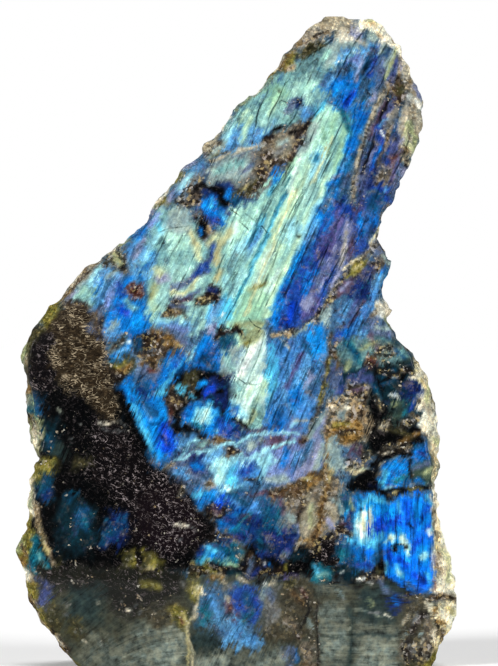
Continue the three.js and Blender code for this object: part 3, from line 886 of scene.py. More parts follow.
rock|1.2|0|-11 157,-9.6 160.4,-6 162,-4 160.4,-4.8 157,-8 155.6
greige|.8|.7|-9 158.6,-7 160.6
moss|.8|.8|-7.4 156.4,-5.8 157.6
navy|.5|.4|-8.8 157.8
bark|.6|.5|-7 155.4,-7.8 154.6
sky|1.4|0|-15 149,-13 153.6,-11 156.4,-10 153.6,-11.4 150.6,-14 147.6,-18 145.6,-19.6 147
lavender|1.2|.8|-18 146.4,-15 149.4
olive|1|0|-20 148,-16.6 152.8,-14.6 153,-16.4 149.8,-18 148
olive|1|0|-25 141.4,-23 145,-21.6 143.8,-21 141.4,-23.4 140.8
lavender|1.2|0|-22 142,-20.6 145.6,-18.6 146,-18.6 143.6
rock|1.8|0|-20 141,-18 144,-14 147.6,-11 151,-9.2 149.4,-10 144,-11 140.4,-15 140.4
umber|1.4|0|-16 142,-13 146.4,-10.4 148.6,-10.4 143.6,-12.6 141
black|.9|.5|-12.6 145.6,-10.6 147.4
ash|1.5|.9|-14 148,-11.4 151
white|.6|.4|-15.4 146.6,-14.8 147
periwinkle|1.4|0|-28 135.6,-25 140,-23.6 139.6,-24 136.4,-27 134.4
umber|1.2|.8|16.6 156,19.6 161
slate|1.3|.6|1.6 151.6,5.6 154.6
umber|1.3|.7|7.4 151,9.6 156
pale cyan|1.2|.8|-17.6 146.6,-13.6 151
ash|1.3|.8|12 156.4,15.4 160
mist|1.3|.8|-8 156.4,-4.6 160
# left slope
sky|1.8|0|-48 112,-44 119,-37.4 125.6,-34 123,-36 116,-40 110.6
sea|1.6|0|-51 112,-47.6 117,-43.6 117.4,-41.6 112.6,-47 110.6
pale cyan|1|.9|-45 117.6,-41.6 122.6
mist|1.2|1|-47.6 117,-45 120.6
mint|1.2|.8|-49.6 113.4,-46.6 115.4
azure|1|.4|-43.4 114,-40.6 118.6
sky|1.2|.8|-41.6 112,-38.6 116.4
lavender|1.2|.7|-51 112.6,-49.4 115
periwinkle|1.5|0|-40.6 111.6,-37.6 118.4,-35 120.6,-34.6 117.4,-37 111.4
mist|1|.5|-39.6 118.6,-36.6 121.6
sky|1.3|0|-31.4 123,-34 127.6,-29.4 132.6,-26.6 131,-28 125
lavender|1.2|.9|-31 125.6,-28 130.4
rock|1.2|0|-41 123.6,-38.4 128.6,-34.6 128.4,-32.4 123.6,-33 120.2,-36.4 120.6
sage|.9|.8|-37.4 126.6,-35 123
moss|.8|.6|-39.6 125,-38 123
black|.6|.5|-35.6 121.6,-33.8 122.4
black|.6|.5|-38.4 123.8
white|.5|.3|-38.6 122.4
azure|2|0|-36.4 112.6,-35 118,-31 121.4,-27.6 119,-27.6 112,-26.6 106,-28 101,-34 99,-38 103,-38.4 108
sky|1.5|1|-30.6 118,-29 113
cobalt|1.5|1|-34.4 109.4,-33 108
bright|1.4|0|-32 104,-31 108,-28 107.6,-28 103
royal|1.2|.9|-36 117,-34.6 113.6
sea|1.4|.8|-33 112,-30.6 109.6
sky|1.8|0|-39.6 102,-39 106.6,-35.6 106,-34.6 101.6
mist|1.2|.7|-38 103.6,-36.6 104.8
slate|1.8|0|-43.4 98,-43.4 109,-40 110,-38.6 104,-39.6 98.6
rust|1.1|0|-33.8 115.4,-31 117.8,-28.4 117.4,-27.8 113.8,-30 112.2,-33 113.8
bark|.7|.4|-31.6 114.6,-30 116
bark|1.3|0|-31.4 99.6,-29 102.8,-25.6 102,-26.6 96.6,-29.6 94.6,-31 97
petrol|1.2|.9|-29.8 99.4,-29.6 96.6
brown|1.6|0|-27.6 97.6,-25.6 103,-21.6 102.6,-20.6 99,-23 96.6
ochre|1.5|0|-23 99,-21 101.4,-16.6 100,-14.6 98,-17 96.6,-21 97
gold|.8|.4|-17.6 98.6,-16 98.4
umber|1.5|0|-31 96,-27 98,-22 97.4,-16.4 96.8,-17 94.6,-22 93.6,-27 93.6
azure|1.4|0|-38.6 93.2,-36 97.6,-33 99.2,-31.6 97,-34 93,-37 92
sky|1.1|0|-36 94.6,-35 97.4,-32.6 98.6,-33 96
white|.5|.3|-33.6 99,-32.4 99.2
moss|1.8|0|-40.6 90,-37 94,-32 95,-30 92.4,-32 89.2,-36 87.2,-39.6 88
ochre|1.4|.8|-36 90.6,-33 91.6
olive|1.1|.6|-36.6 91.6,-34 93
umber|1.5|0|-39 87,-38.6 91,-35.6 91,-33.4 87.6
slate|1.5|0|-30.6 89.6,-29 94,-24 94.6,-21.6 92,-24 88.6,-28 88
brown|1.2|0|-30 92.6,-27 95.4,-23 95,-22.6 92.6,-26 91.6
rust|.9|.6|-26.4 90.4,-24.8 90.8
bark|1.6|0|-42.4 97,-39.4 98,-38.8 92,-38.6 87,-36 83,-33 77,-29 69,-25.6 61.6,-29 60,-33 68,-36 76,
-39 82,-41.4 90
umber|1.3|.5|-39.6 97,-39 91,-37.4 86
bark|1.4|1.3|-38.4 88,-34 88.8
dim sea|1.4|1|-37.4 97,-34 101
bark|1.2|.7|-27.4 97,-24.6 101
pale cyan|1.3|.7|-27.4 125,-24.4 131.6
umber|1.4|.9|-37.4 97,-34 101
petrol|1.5|.9|-22.6 87.4,-19.6 91
# azure left triangle and centre
azure|1.6|0|-36.4 86,-33 88.6,-28 87.6,-24 88.6,-21 93,-17 97,-14 94,-15 90,-19 87,-20 80,-18.6 74,
-17.6 70,-19.6 65.6,-23 61.6,-25.4 61,-29 68,-32 76
bright|1.8|0|-25.6 74,-25 81,-22 82.4,-20.6 79,-20.6 74,-23 72
petrol|1.6|0|-33 84,-30.6 88,-26 87,-25.6 84,-29 82
cobalt|1.6|0|-24 66,-22.6 74.6,-18.6 74.6,-18 69,-21 65
navy|1.2|.8|-29 84.6,-26.6 82.6
azure|1.5|1|-34.6 84.6,-32 78,-29.6 72
cyan|1.1|.6|-30 75,-27.6 70,-25 64.6
pale cyan|.8|.5|-26.4 68,-24.2 63
cyan|1.2|0|-25.6 82.6,-24 86,-21 88,-19.6 85,-22 82.6
sky|1.2|.8|-28 79,-26 76
cyan|.9|.6|-21 87,-18 91.6,-16 95
pale cyan|.8|.5|-14.6 93.6,-12.4 98
royal|1.2|.7|-18.6 92,-16 95.6
azure|1.6|0|-14 92,-10 99,-6 102,-3 100.4,-3 96,-5.6 91,-8 88.6,-12 89
bright|1.2|1|-11.4 97,-8.6 100.4
petrol|1.4|1|-10 94,-7 92
dusk|1.2|.7|-8 95,-5.6 99
bark|1.3|0|-6.6 100.8,-4 104,-1 103.2,1.4 104,2.4 101.6,0 100.8,-2.4 101,-3.6 98.6,-5.4 97.8,-6 99
rust|.8|.5|-5 99.6,-2.6 102.4
black|1.6|0|-22 82.4,-19 87,-17 90.6,-13 91.4,-8 90.6,-2 89.4,-1.6 84,-1.6 79,-3 74.6,-5.6 79,-9 82,
-13 81,-16.4 78,-16.6 74,-13 71.6,-9.4 71.4,-9.4 69.4,-14 68.8,-18.4 71.6,-20 78
moss|1.2|0|-17 84,-15.6 90.4,-11.6 90.6,-12 86,-14 83
rock|.8|.5|-14.4 86.6,-13 83.8
greige|.6|.4|-15.2 81.6
umber|1.2|0|-21.6 82,-19.4 86,-17 85,-17 79,-19 77
rust|.8|.5|-20.2 74.6,-19.6 79
navy|1.2|0|-9.6 82.6,-10 87.6,-5 89,-2.4 88,-2.4 80,-4.4 79,-6.6 81.6
cobalt|.9|.9|-9 84,-6.6 85.4
cyan|.9|0|-18.4 84.4,-17 86.8,-14.8 86.6,-15.4 84.6
bright|.9|.8|-11.6 86.4,-9.6 87
cyan|.8|.5|-13.6 83,-12.4 82.4
azure|1.3|0|-16.4 77.6,-13.6 80.6,-8 81.4,-5 78.6,-3.6 75,-2.4 71.6,-7 70.6,-11 72.6,-15 74.6
cyan|1.2|0|-13.8 75,-11.6 79.6,-7.2 80.4,-5.6 77,-8 73.4,-12 73.4
pale cyan|1.1|0|-12.6 76,-11 79.4,-7.6 79.8,-6.6 77,-8.6 74
ice|.8|.6|-10.4 75,-8.6 78.6
turquoise|.9|.7|-12 74,-10.6 72.4
bright|1|1|-8 72.4,-4.6 72
pale cyan|.7|.5|-5.6 72.4,-4 71.4
royal|1.3|0|-5.4 75,-3 77.4,-.6 75,2 72.6,3.4 70.2,0 69,-4 70.6
azure|1.2|0|-2.6 75.6,-2.4 79.8,.6 80.4,1.4 76,-.6 74.4
black|.9|.7|-.4 75.4,1.6 74.4,3.6 73.4
black|.5|.7|-18.7 84
black|.6|.8|-5.4 84.2,-4.6 84.2
wine|1.1|.6|3 72.4,6 72.2,9 72.6
bright|1.4|0|-34 86,-32 80,-29 73,-26 66,-24 62.6,-22.6 64,-25 72,-28.6 79,-31 86
cyan|1.2|.7|-31 80,-28.6 74,-25.6 67
cobalt|1.2|.8|-22 74,-20.6 66
navy|1|.5|-22.4 70.6,-20 68
# dark clusters in the pale field
bark|1.1|0|-12.4 111.6,-9.4 114.2,-8 116.8,-6 116.4,-4.6 113,-6.4 110.6,-10 109.8,-12 110
navy|.9|.7|-8.4 115.6,-6.2 115.2
gold|.5|.4|-10.8 113,-9.4 112
sand|.5|.35|-7.8 112.6
bark|1.1|0|-21.4 110.4,-19.4 113,-17 112.6,-15.8 110,-15.2 106.4,-16.6 108,-20 109,-22.4 107.2
brown|.8|.8|-19.4 109,-17.6 108.6
gold|.6|.4|-18.6 109.2,-17.8 108.2
wine|.9|.5|-16.4 112,-13 112.6
# lace veins below the centre
steel|2|0|-20 66,-15 70,-8 70,-2 70,5 72,14 73,22 75,26 70,26 60,20 56,8 55,-4 54,-10 56,-14 60,-18 62
periwinkle|2.2|0|2 64,6 71,14 73,20 74,26 69,26 60,18 57,9 57
slate|1.8|0|-21 57,-20 64,-15 66,-9 66,-8 60,-12 55.6,-18 55.4
sky|1.4|0|-20.6 56.8,-19 60,-14.6 60.6,-13.6 58
taupe|1.2|.8|-22 60,-19.4 61.8
navy|1.3|0|-14.6 61,-14 65.6,-9.4 65.6,-8.4 62,-9.6 59.6
azure|1.2|.8|-13 61.6,-10 61
ash|1.4|0|-13.4 66.6,-12 69.8,-3 70,-1.4 68.4,-4 66.6
sea|1.1|.7|-12 68,-9 68.4
brown|1.2|0|-8 67.8,-7 69.8,-2.6 69.6,-2.6 67.8
pale cyan|1.5|0|-8 64,-5.6 66.4,4 64.6,10 66,12 62.6,8 58,2 55.6,-3.4 54.6,-6 58
pale sea|1.2|1|-4.6 62,-4 58
cyan|1|0|-3.6 57,0 62.4,2 60,.6 56
ice|1|.7|-3.4 56.6,-1 53.4
periwinkle|1.3|0|1 58.6,1.4 63,5 63.4,6 60,4 57.6
azure|.9|.7|6 59,7.6 59.6
umber|1.2|0|-5.4 66,.4 66.6,1.6 65,-1.6 63.2,-4.4 63.8
wine|1.3|0|7.6 68.8,12 70.8,17.6 70.4,16.6 68,10 67.2
rust|.9|.5|19 69.4,21 69.6
mist|1.2|0|3.4 67.4,4.6 70.6,8 70.8,8 68
lavender|1.4|0|18 57,19 67,23 72,26.6 71,26 62,22.6 57
slate|1.3|.9|21 66,22.6 71
greige|.9|.5|20.6 71,22.4 69.8
pale cyan|.7|.45|-18.8 63.2,-15.5 64,-13 65.6,-9 65.8,-6.8 65.5,-5 67,-3 67.8,.5 68,2.6 69.6,5 71.2,
10 71.4,15 72,18.6 71.6
pale cyan|.7|.4|-18 63.5,-16 66,-14 69.4,-11.6 69.4
pale cyan|.7|.5|3 63.8,6 65,9 66,12 67.4,14 68.4,18 69.2
pale cyan|.7|.4|-8 64.6,-5 62,-3 59,-4 56,-4.6 52
pale cyan|.9|.7|9.4 66,10.4 63.6,8.6 60.4,7.4 57.6
azure|1.2|.9|14 62,15.6 66.6
sky|1.2|.8|17.6 62,19 66
black|.4|.5|-8.6 61.6
black|.5|.5|6.6 61.1
black|.4|.6|2.6 57.3
brown|.8|.7|4.4 57.8,6 57.6
tan|1.2|0|-10 54.6,-9.4 57,-6 57.4,-5.4 55.4,-7.6 54.4
# gold-brown band
brown|1.8|0|8 52.6,11 54.6,18 56.4,24 60,28.6 61,28.6 54,24 50.6,18 51.6,12 51.4
ochre|1.4|0|18.6 53,20.6 57.6,24 59.4,27 58,25 57.4,27.6 54.6,24 52,21 51.4
mist|1.4|.9|9.6 57.6,15 57.6
wine|1.3|.9|8.6 53,13.4 52.6
rust|.9|.4|9 53.4,11 52.6
gold|.8|.5|20.6 57.6,22.8 57.4
taupe|.8|.5|11 55,15.6 55.6
bark|.8|.4|12.4 54,17.4 54
# brown line at the right of the cornflower block
umber|1.2|.7|29 101,28.4 95,27.6 89,26.6 83,24.6 77,22.6 72,20.4 68.6
olive|.9|.4|28.6 94,27.4 87,25.4 80
brown|1.4|.9|27.4 76,28.4 70,27.8 63,27.4 58
gold|.9|.4|28.2 70,27.6 62
slate|1.3|0|28.6 84,29 93,31 94,32 90,31 84
# brown crystals
tan|1.8|0|26.6 76,28 80.6,34 82.6,40 81,41.8 75,40 69.6,35.6 66.6,31 69.6,27 70.6
ochre|1.5|0|28.6 70.6,30 75.6,38 75.8,39.4 71.4,34 69
olive|1.1|.8|30 73.6,34 74.6
ochre|1.1|.7|33.4 68.6,37.6 70
bark|1|.5|31 71,35.4 72.6
tan|1|0|35.6 76,36.6 80.6,40 80,40.6 76.4
bone|.6|.5|29 78.8,30 79.4
bone|.6|.6|33.6 79.2,34.6 78.6
bone|.5|.4|34 81.6
mist|1|0|30.6 76.4,31.4 78.8,33.6 78.6,33.2 76.4
umber|1|.6|34 75.4,36 76.4
slate|1.2|.6|22 63,24.6 70
sky|.9|.6|20 62,23.4 69.6
mist|.9|.7|24.6 61,26.8 68
cornflower|.9|.5|17.4 60,20.4 66.4
mist|1.2|1|22.8 71,26 76.6
lavender|1|.6|24 70,27 75.6
ochre|.9|.5|27.4 60,28 70
mist|1.3|0|28 68.6,30 70.4,32.4 67,33.6 62,31 58.8,28.4 59.8,27.8 64
rock|1.6|0|34 59.6,34 63.6,37 67.4,41.6 66,42 62,39 60
wine|1.2|0|34 64,35.6 67.8,39 67.6,39 65
slate|1|.8|36 64.8,38 62.8
sand|1|.6|33.6 61,36.6 59.6,41 59.4
straw|.7|.4|38 60.6,40.4 59.8
umber|1.2|.6|38 76,39.6 82
# greys under the band
taupe|1.8|0|14 41,15 53,22 55,28 57.6,33 58.6,33 52,31.4 44,30.6 40.4,26 38.6,22 35,18.4 36,17 40
brown|1.6|0|8 53.6,12 55,17 54.6,22 54,20 51.6,15 52.4
taupe|1.4|0|14.4 48,15 52,19.6 52.4,20 48.4,17 47.4
ash|1.3|0|13.8 43,14.6 48.4,18.8 48,19.2 44,17 42.6
mist|1.1|.8|15.4 46.6,17.6 45.6
lavender|.8|.5|17.4 43.4,19.2 43.8
umber|1|.5|20 50,18.8 44,18 41
drab|1.6|0|19.4 38.6,20.6 46,22 51.6,25 52.4,26 47,24.4 38.6
sage|1.6|.5|23.4 49.6,22.6 43
greige|.9|.6|21.6 44,20.6 38
bone|.8|.7|18 36,20.6 35.6,22.6 36.6
lavender|.9|.5|18.4 40,19.2 43
ochre|1|.6|20.4 39.6,24 38
ochre|1.2|.8|29 60,27.6 54,26.2 48,25 41.6
brown|1|.4|28.6 58,27 51,25.8 45
gold|.7|.35|29.4 61,28.4 56.6
drab|1.2|0|27.4 41.4,28 48.6,30.6 50,31.4 42,29.6 40.4
lavender|1|.8|28 44.6,29.8 42.6
greige|1|.6|28.4 49.6,30.6 47
mist|.8|.4|29.6 51,31.4 49
umber|1.5|0|27 35,28.4 40.4,34 41,35 38,32 36
slate|1|.6|28 41,30 40.6
brown|1.3|1|22 37.4,25 42
# blues of the lower centre
petrol|2.5|0|-6 50,-3 54,4 55,10 52,14 50,14 44,19 43,18 37,14 31,8 29,2 30,-4 33,-10 36,-4 40
azure|1.5|0|-14.6 52,-12 55,-8 54.6,-4.6 54.8,-3.6 51,-6 48.6,-9 48.4,-13 49.4
cyan|1.2|.9|-12.6 52.6,-10 53.4
greige|1.2|.7|-14.4 50,-12 48,-10 46.6
bright|1.2|1|-8.4 53,-7 50.6
cobalt|1.4|0|-6.4 49.6,-5.6 53,-2.6 52.4,-2.4 50,-4 48.4
sky|1.4|0|-6.6 53,-4 56,-2 55,-4.6 52
cornflower|1.8|0|-2 51,0 54,4 54,9 51,9 47,3 46.6,0 48
slate|1.5|0|.6 51,2 54,6 54,6 51.6,3.6 50.4
cornflower|1.4|0|2.6 47.6,3.4 50.6,6.6 51,7 48.4
petrol|1.6|0|7 46,8 51,13 51,13.6 47,11 45
wine|1.3|.7|13.4 50.6,14.6 47
azure|1.6|0|-5 42,-4.4 47,0 49,0 46,-1.6 43
azure|1.1|.8|-2 47,1.6 48
navy|1.6|0|-5 47.6,-1 50,1.6 49,-1 47
navy|1.6|0|-1.6 44,1 46.4,8 46,8.6 42,4 43.4
wine|1.3|.8|2 46,5.6 44
azure|1.4|1|-1 43,3.6 42
bright|1.2|.7|-1 42.4,1.6 42.6
slate|1.2|.9|-1 40.6,1 40.4
taupe|.9|.5|-2.8 42,-2.6 40.6
turquoise|1.5|0|9.6 44,10.6 48.4,13.4 48,13.4 43
navy|2|0|7 31,7 40,12 42,19 42.6,17 37,13 31
royal|1.5|1|6.6 45,6.4 40,5 36
wine|1.3|.8|14.6 42,17.4 38.6
sky|.9|.5|15 35.6,16.6 37
bone|.7|.5|14.4 33.8,15.4 35
rust|.8|.5|15.6 33.6,16.2 32.6
slate|1.4|0|0 34,1 38.4,4 37,4 33
wine|1.2|.6|2 36.6,1 33
turquoise|2|0|-12 35.6,-9.6 38,-4 37.6,0 38.6,1 34,-2 31,-8 30.6,-11 33
azure|1.5|0|-9.6 35,-8.6 38,-5 37.4,-2 37,-3.6 34.6,-8 33.6
cyan|1.1|.9|-8.4 36.6,-6 35.8
sky|1|.7|-5 35.6,-3.6 33.4
cyan|1|.6|-9.8 33,-8.6 35
leaf|.9|.5|-9.6 32,-8 33
mint|.8|.5|-4.6 32.4,-3 33.4
royal|1.4|0|-12.8 35,-12 38,-9.6 38,-9.8 35.4
mist|.9|.4|.6 35,1.6 37.4
royal|1.1|.7|2.4 31.4,2.8 33.6
navy|1.4|0|9.6 27.4,10 31.6,12.6 30.4,12.2 27
tan|1|.5|-13 35,-12.8 36.4
bark|1.5|0|-9.4 50,-7 50.4,-4 48,-1.6 47.4,-4 45.6,-8 44,-10 46.4
bark|1.8|0|-10 43,-5 44,-4 40.6,-1 38.6,-8 38,-12.4 39.6
wine|1.2|.8|-7 48.6,-5.6 47.4
petrol|1.5|0|-1.4 43,4 44,4.4 41,0 40.6
navy|1.8|0|5 48,9 46,10 43,14 42.6,18.4 42.6,18 37.4,13 33.4,6 34.6,4.4 41
petrol|1.4|1|11.4 47.6,11.6 43
deep sea|1.4|.9|7 42,7.4 36.6
dusk|1.2|.6|9.4 40,10 35.4
black|1.5|0|2.4 36.4,5 38,6.4 34.6,13 34,15 30.6,13 28,4 28,1 29,2.2 32
royal|1|.5|7.2 34.4,8.4 31
azure|.8|.35|10 32,11.6 28.6
moss|1.3|0|.4 37,2.6 36.4,2.4 31.6,.4 31
mist|.8|.5|1.4 36,1.6 34
brown|1|.5|4.4 34.6,4.6 31.6
tan|.7|.4|-.4 38.4,1.6 38.8
white|.5|.3|8.4 32.2
navy|1.6|.6|-3 45.6,3 44.4
navy|1.3|1.2|-3 39.6,2 40
deep sea|1.8|.8|8 50.4,10.6 43
dark sea|1.6|.6|6 38.4,12 36
wine|1|.5|4 53,9 53.4
umber|.8|.5|-3.6 40,0 39.4
deep sea|1.6|.7|-1 53.4,3 50
navy|1.4|.6|14.6 40.6,18 41
turquoise|1.2|.5|0 42.6,4 47
black|1.4|1|-6.6 30.2,1 30.6
deep sea|1.4|.8|-2.6 34.6,1.4 35.4
# left dark region
black|2|0|-66 104,-58 106,-54 110,-48 112,-43 108,-41 100,-40 92,-36 84,-32 76,-28 68,-25 61,-18 57,
-14 50,-8 46,-6 42,-12 36,-14 30,-22 29,-34 29,-56 29,-62 32,-63 40,-62 50,-62 60,-61 70,-62 84
soot|2.5|0|-64 86,-62 98,-57 105,-52 110,-46 110,-42.6 104,-44 96,-54 86
moss|2|0|-64 94,-60 100,-57 105.6,-53.6 109,-52 107,-56 102.6,-59 96,-62 91
umber|1.5|1|-52 111,-48 110.6,-45 110
flake|1.8|0|-57 104,-55 107,-52 109.6,-48 110,-45 108.4,-43.6 105,-41 101.6,-39.6 98,-40 92.4,-38.6 87,
-36.6 82,-35.4 78.4,-36.6 75.6,-42 76,-43.6 79.6,-46 82,-50 85,-54 87.6,-58 91,-60.6 96,-60 100
curl|1.8|0|-63 86,-62.6 97,-59 103,-56 100,-57 92,-55 86.6,-58 84
slate|1.6|0|-44.6 103.6,-44 110,-40.6 109,-40.6 102,-42.6 99.6
brown|1.2|.7|-43.4 108,-42.4 103
curl|2.2|0|-44 75,-38 74.4,-34 72.6,-30 66,-25 60,-18 57,-14 53,-12 47,-9 44,-12 37,-18 33.6,-26 34,
-31 37,-33 44,-33 48,-36 52,-40 55,-45 59,-44 66
grape|2.5|0|-30 50,-26 56,-19 55.4,-14 50,-10 45,-12 38.6,-18 36,-26 38,-30 42
bone|.6|.25|-42 74.6,-39 74.3,-36.2 74.7
ash|.5|.3|-35.4 75.4,-33.8 73.8
ash|.5|.25|-40.6 72.8,-38.6 72.4
ash|.5|.25|-37.4 72,-34.2 72.2
smoke|.6|.3|-54.8 78.6,-53.4 77.6
bone|.6|.4|-18.4 43.4,-16.4 43.3,-14.6 43
ash|.6|.3|-13.4 43.6,-12 42
ash|.5|.35|-16.6 38.8
ash|.5|.3|-48 73.8
ash|.5|.3|-50.6 70
rock|.9|.7|-17.4 52.8,-16 54.8
petrol|2.2|0|-62 76.6,-61.8 82,-59.4 83.4,-58.8 79,-60 75.4
dark sea|2.5|0|-60 66,-59 75,-55 76.6,-53 70,-55 64.6
deep sea|2|.9|-57.6 71,-55.8 66.6
gloom|2|0|-56 64,-54.6 70,-52 68,-53 63
olive|1.8|0|-61.4 60,-61 63,-56 63.4,-53.6 61,-57 59.4
moss|2|0|-50 60.6,-49 64,-44.6 64,-44.6 60.6
deep sea|2.5|0|-62 57,-61 60,-56 58.6,-56 52,-59 51
navy|2|.9|-58.6 52,-57 53.4
deep sea|2|0|-53 50.4,-52 53.6,-49 53.4,-49 50
dark sea|3|0|-55 36,-55 50,-48 52,-43 48,-42 38,-48 34
petrol|2|0|-49 43,-48 48.4,-44.6 48.6,-44 44,-46.6 42
turquoise|1.2|.6|-46.4 45,-45.6 44
navy|2.5|0|-41 38,-39 44,-38 48,-34 48,-32.6 44,-34 39.6,-38 37
petrol|1.6|0|-37 41,-35.8 46.4,-33.8 46.4,-33.4 42.4
deep sea|2|0|-41 39,-40 43.4,-37.6 43,-38 39
turquoise|1.6|0|-62.6 33,-62 39.6,-60 39,-56.4 32.6,-55 26.4,-58.6 26,-61.4 30
turquoise|1.3|0|-62 38,-59 36.6,-55.8 32,-54.8 27,-57 26,-60.6 29,-62.6 33
sea|.8|.35|-60.6 36,-58.6 32,-57 29
moss|1.8|0|-56.6 27,-56 33,-53.6 34,-53 28
olive|1.2|.4|-61 45.6,-59.6 40,-57.6 35.4
tan|.8|.5|-61 49.6,-60.2 44,-58.6 39,-57 35.6,-55.6 31.4
gold|.6|.3|-60.4 44,-58.8 38.6,-57.2 35.2
black|1|.6|-62 46,-61.4 43
olive|1.5|0|-35.6 29,-34.6 34.6,-31.4 36,-31 29.6
straw|.8|.4|-33.8 31,-32.8 33.6
olive|1.6|0|-30 31,-27.6 35.6,-23 34.4,-21.4 29,-23.6 23.4,-28.6 23.4,-30 27
gold|1|.9|-27.4 31,-24.6 30.4
bark|.7|.4|-28.4 29.2,-23.4 29.4
olive|1.5|0|-14.6 22.6,-14 30,-12.6 33.4,-9.8 31.6,-9.6 26,-11 22.6
straw|1|.8|-13 24.6,-11.4 27.4
black|1.4|1.3|-35.6 83.4,-32.6 76.6,-30 71,-27 64.6
petrol|1.6|.6|-28.6 82,-24 76
petrol|1.2|.8|-27 66,-24.4 61.6
deep sea|1.4|0|-4.6 100.6,-3 102,.4 101.4,.6 98.6,-1.6 96,-4 97
bark|.8|.6|-5 101,-1.6 102.6,1.6 102.4
cornflower|1.6|0|.6 57,1 62,4 64,7.4 62.6,8 58.6,4.6 56.4
royal|1.2|.9|2.4 59,5.4 62
bark|.7|.5|3 57.4,5.6 57.2
sky|1.4|.8|-18 67.6,-13.6 70.6
sky|1.5|1.2|-8.6 63,-4 66
umber|1|.8|-22 107.6,-17.6 108.4
slate|1.1|.7|-20 110.6,-14.6 109.6
moss|1.2|1|-34.6 30.6,-32.6 34.4
moss|1.3|1|-29.6 29,-26.6 33.6
bark|.8|.5|-30.4 33,-30.6 29
bark|.6|.3|-28 29.4,-24 29.8
bark|1.4|.8|-42 101,-40.4 107
# dark band above the lower facet
bark|1.8|0|-14 33,-10 31.6,-2 30.6,2 30,6 34,8 30.6,14 32,18 37,22 36,26 39,30 40,33 36,37 30,41 29,
44 27,44 24,36 25.4,24 27,12 27.4,0 27.6,-14 28
olive|1.2|.7|-9 30.6,-6 28.6
leaf|1|.5|-3 31.4,0 31
dark sea|1.2|1|-2 29,1.6 28.6
greige|.9|.7|-6 27.6,-4.6 28.4
straw|.8|.5|.6 28.2,1 26.8
tan|.9|.6|1.6 27.4,3.6 26.6
navy|1.2|.8|5 27.6,6.6 30.4
slate|1|.6|4 28.6,5 33
black|1.4|0|14 27.6,14 31.6,18 36.4,24 37,30 38.6,32 34,30 30,26 28.6,20 27.6
bark|1.4|0|24 33,25.6 38.6,29.6 39.6,31 34,28 31
dark sea|1.4|0|15 33,17 35.6,22 35.6,21 32.4
violet|1.1|.6|15 28.4,18.6 27.6
olive|.9|.4|15.4 32,15 30
speckle|1|0|22 35.4,24 39.6,30 41,35 41,35.4 46,32 49,31.6 44,30 40,26 36
curl|1.2|0|24.4 32,26 38.6,30.6 39,32 34,28 31
turquoise|1.4|0|22.6 27.4,24 32,27 31.6,30 29.6,28.6 27.2,25 26
sea|1|.6|25 28.6,27.6 28.6
cyan|.9|.4|24 30.6,25 29.4
dark sea|1.6|0|30.6 28,32 31.6,36 32,38 28,34 26.4
white|.5|.4|32.4 29.2
white|.6|.4|37.6 27,38.8 27.4
white|.6|.5|40 25.8,41.4 25.6
mist|.6|.25|36 25.8,37.6 26.6
black|1.4|1|35.6 25.4,39.6 25
# bright block, lower right
flare|1.1|0|33 41,35.6 45,36.6 51,39.6 53.6,43.6 53.4,47 50.8,50 52.8,56 53,60 50.6,60.4 40,60 30,
60 23.4,56 22,53 22.6,49 25.8,45 29,45 34,42 34.6,41 31,38 30,34 33,32 36
petrol|1.6|0|31 34,31.6 38.6,34 40,38 38,40 34,40.6 31,37 30.4
azure|1.2|.8|36 37,37.6 33
royal|1.2|.8|37 31.6,40.6 31.4
turquoise|1.2|0|31 34.6,32 38,34 37,34 34
bright|1.4|0|37 47,37.6 52,40 53.4,44 53,47 50.4,46 46,42 47
cyan|1.2|.9|38.4 49.6,41 52,45 50.6
cyan|1.4|0|33.6 39.6,36 46.6,38 50,42 48.6,42 44,44 40,46 38,44 36.6,40 36.8,36.6 38.4
pale cyan|1.2|0|35.6 41,37 45,38 48.6,40.4 48,40.8 43,41.4 40.4,39 39
ice|1.1|0|36.6 43,37.6 46.6,38.6 48.4,40.2 47.6,40.4 43.6,39.6 41.6
white|1.3|0|37.4 42,37.8 45.6,39 47.6,40.2 46.6,40.2 43,40.4 41.4,39 40.6
straw|1|.5|38.8 46,39.4 43
greige|.7|.3|39.6 45,40 42.4
cobalt|1.4|0|42 41,42.4 45.6,44.6 47,46.6 43.6,45.6 40.6
cobalt|1.4|0|47 41,46.6 45.6,49 46.6,51.4 44.6,50.6 41
bright|1.3|0|43 47,44 50,48 49.6,49 46.6,46 46
cyan|1|.5|49 50.6,49.8 47
cobalt|1.4|.9|52.4 50,53 46
cobalt|1.4|0|56.4 42,55.8 46,58.6 49.4,59.6 46,59 42.6
bright|1.3|0|53.6 46,54 51,57.6 51,57 46.6
cyan|1|.6|58 52,59.4 50
cobalt|1.2|.8|54.4 36,55.8 39
cobalt|1.2|.8|50 33,52 31.6
cobalt|1.4|1|54.4 28.6,57.2 26
navy|1|.5|56 27.4,57 26.4
cobalt|1.2|.7|46.6 32,47.6 36
royal|1|.5|48.4 42.6,48.4 38
bright|1.2|.8|47 30,51 28
bright|1.2|0|44.6 38,46 41.6,50 41.6,53 41,54 37,52 33.6,50 36,46.6 36.6
ice|1|0|45.6 38,46.6 40.4,48.6 40.2,48.2 37.6
straw|.7|.4|46.8 39
ice|.9|0|50.2 39,50.8 40.8,52.2 40,53.4 36.4,52.2 35.2,51.4 37
leaf|.7|.4|52.4 37,52.8 35.4
bright|1.2|0|56 33,56 37.4,59 38,59.6 34,58 32
pale cyan|.9|.8|56.8 33.6,58 34.6
cyan|1|.7|49 31,50.2 27.6
pale cyan|.8|.6|49 29.6,49.6 28.8
cyan|.9|.5|45.4 29.4,46 32.4
cyan|.8|.4|58 29,59.2 26
white|.6|.45|58.6 42,59.2 40.8
pale cyan|.8|.5|60 46,59.4 42
black|.6|.8|48.4 36.4,49 36
black|.6|.3|49 37.4,52 37.2
black|.6|.6|52.6 43.8,53.4 43
black|.5|.4|37.8 47.8
moss|.9|0|41.8 35,45.2 34.8,45.2 31,44 27.6,42 28,42.6 32
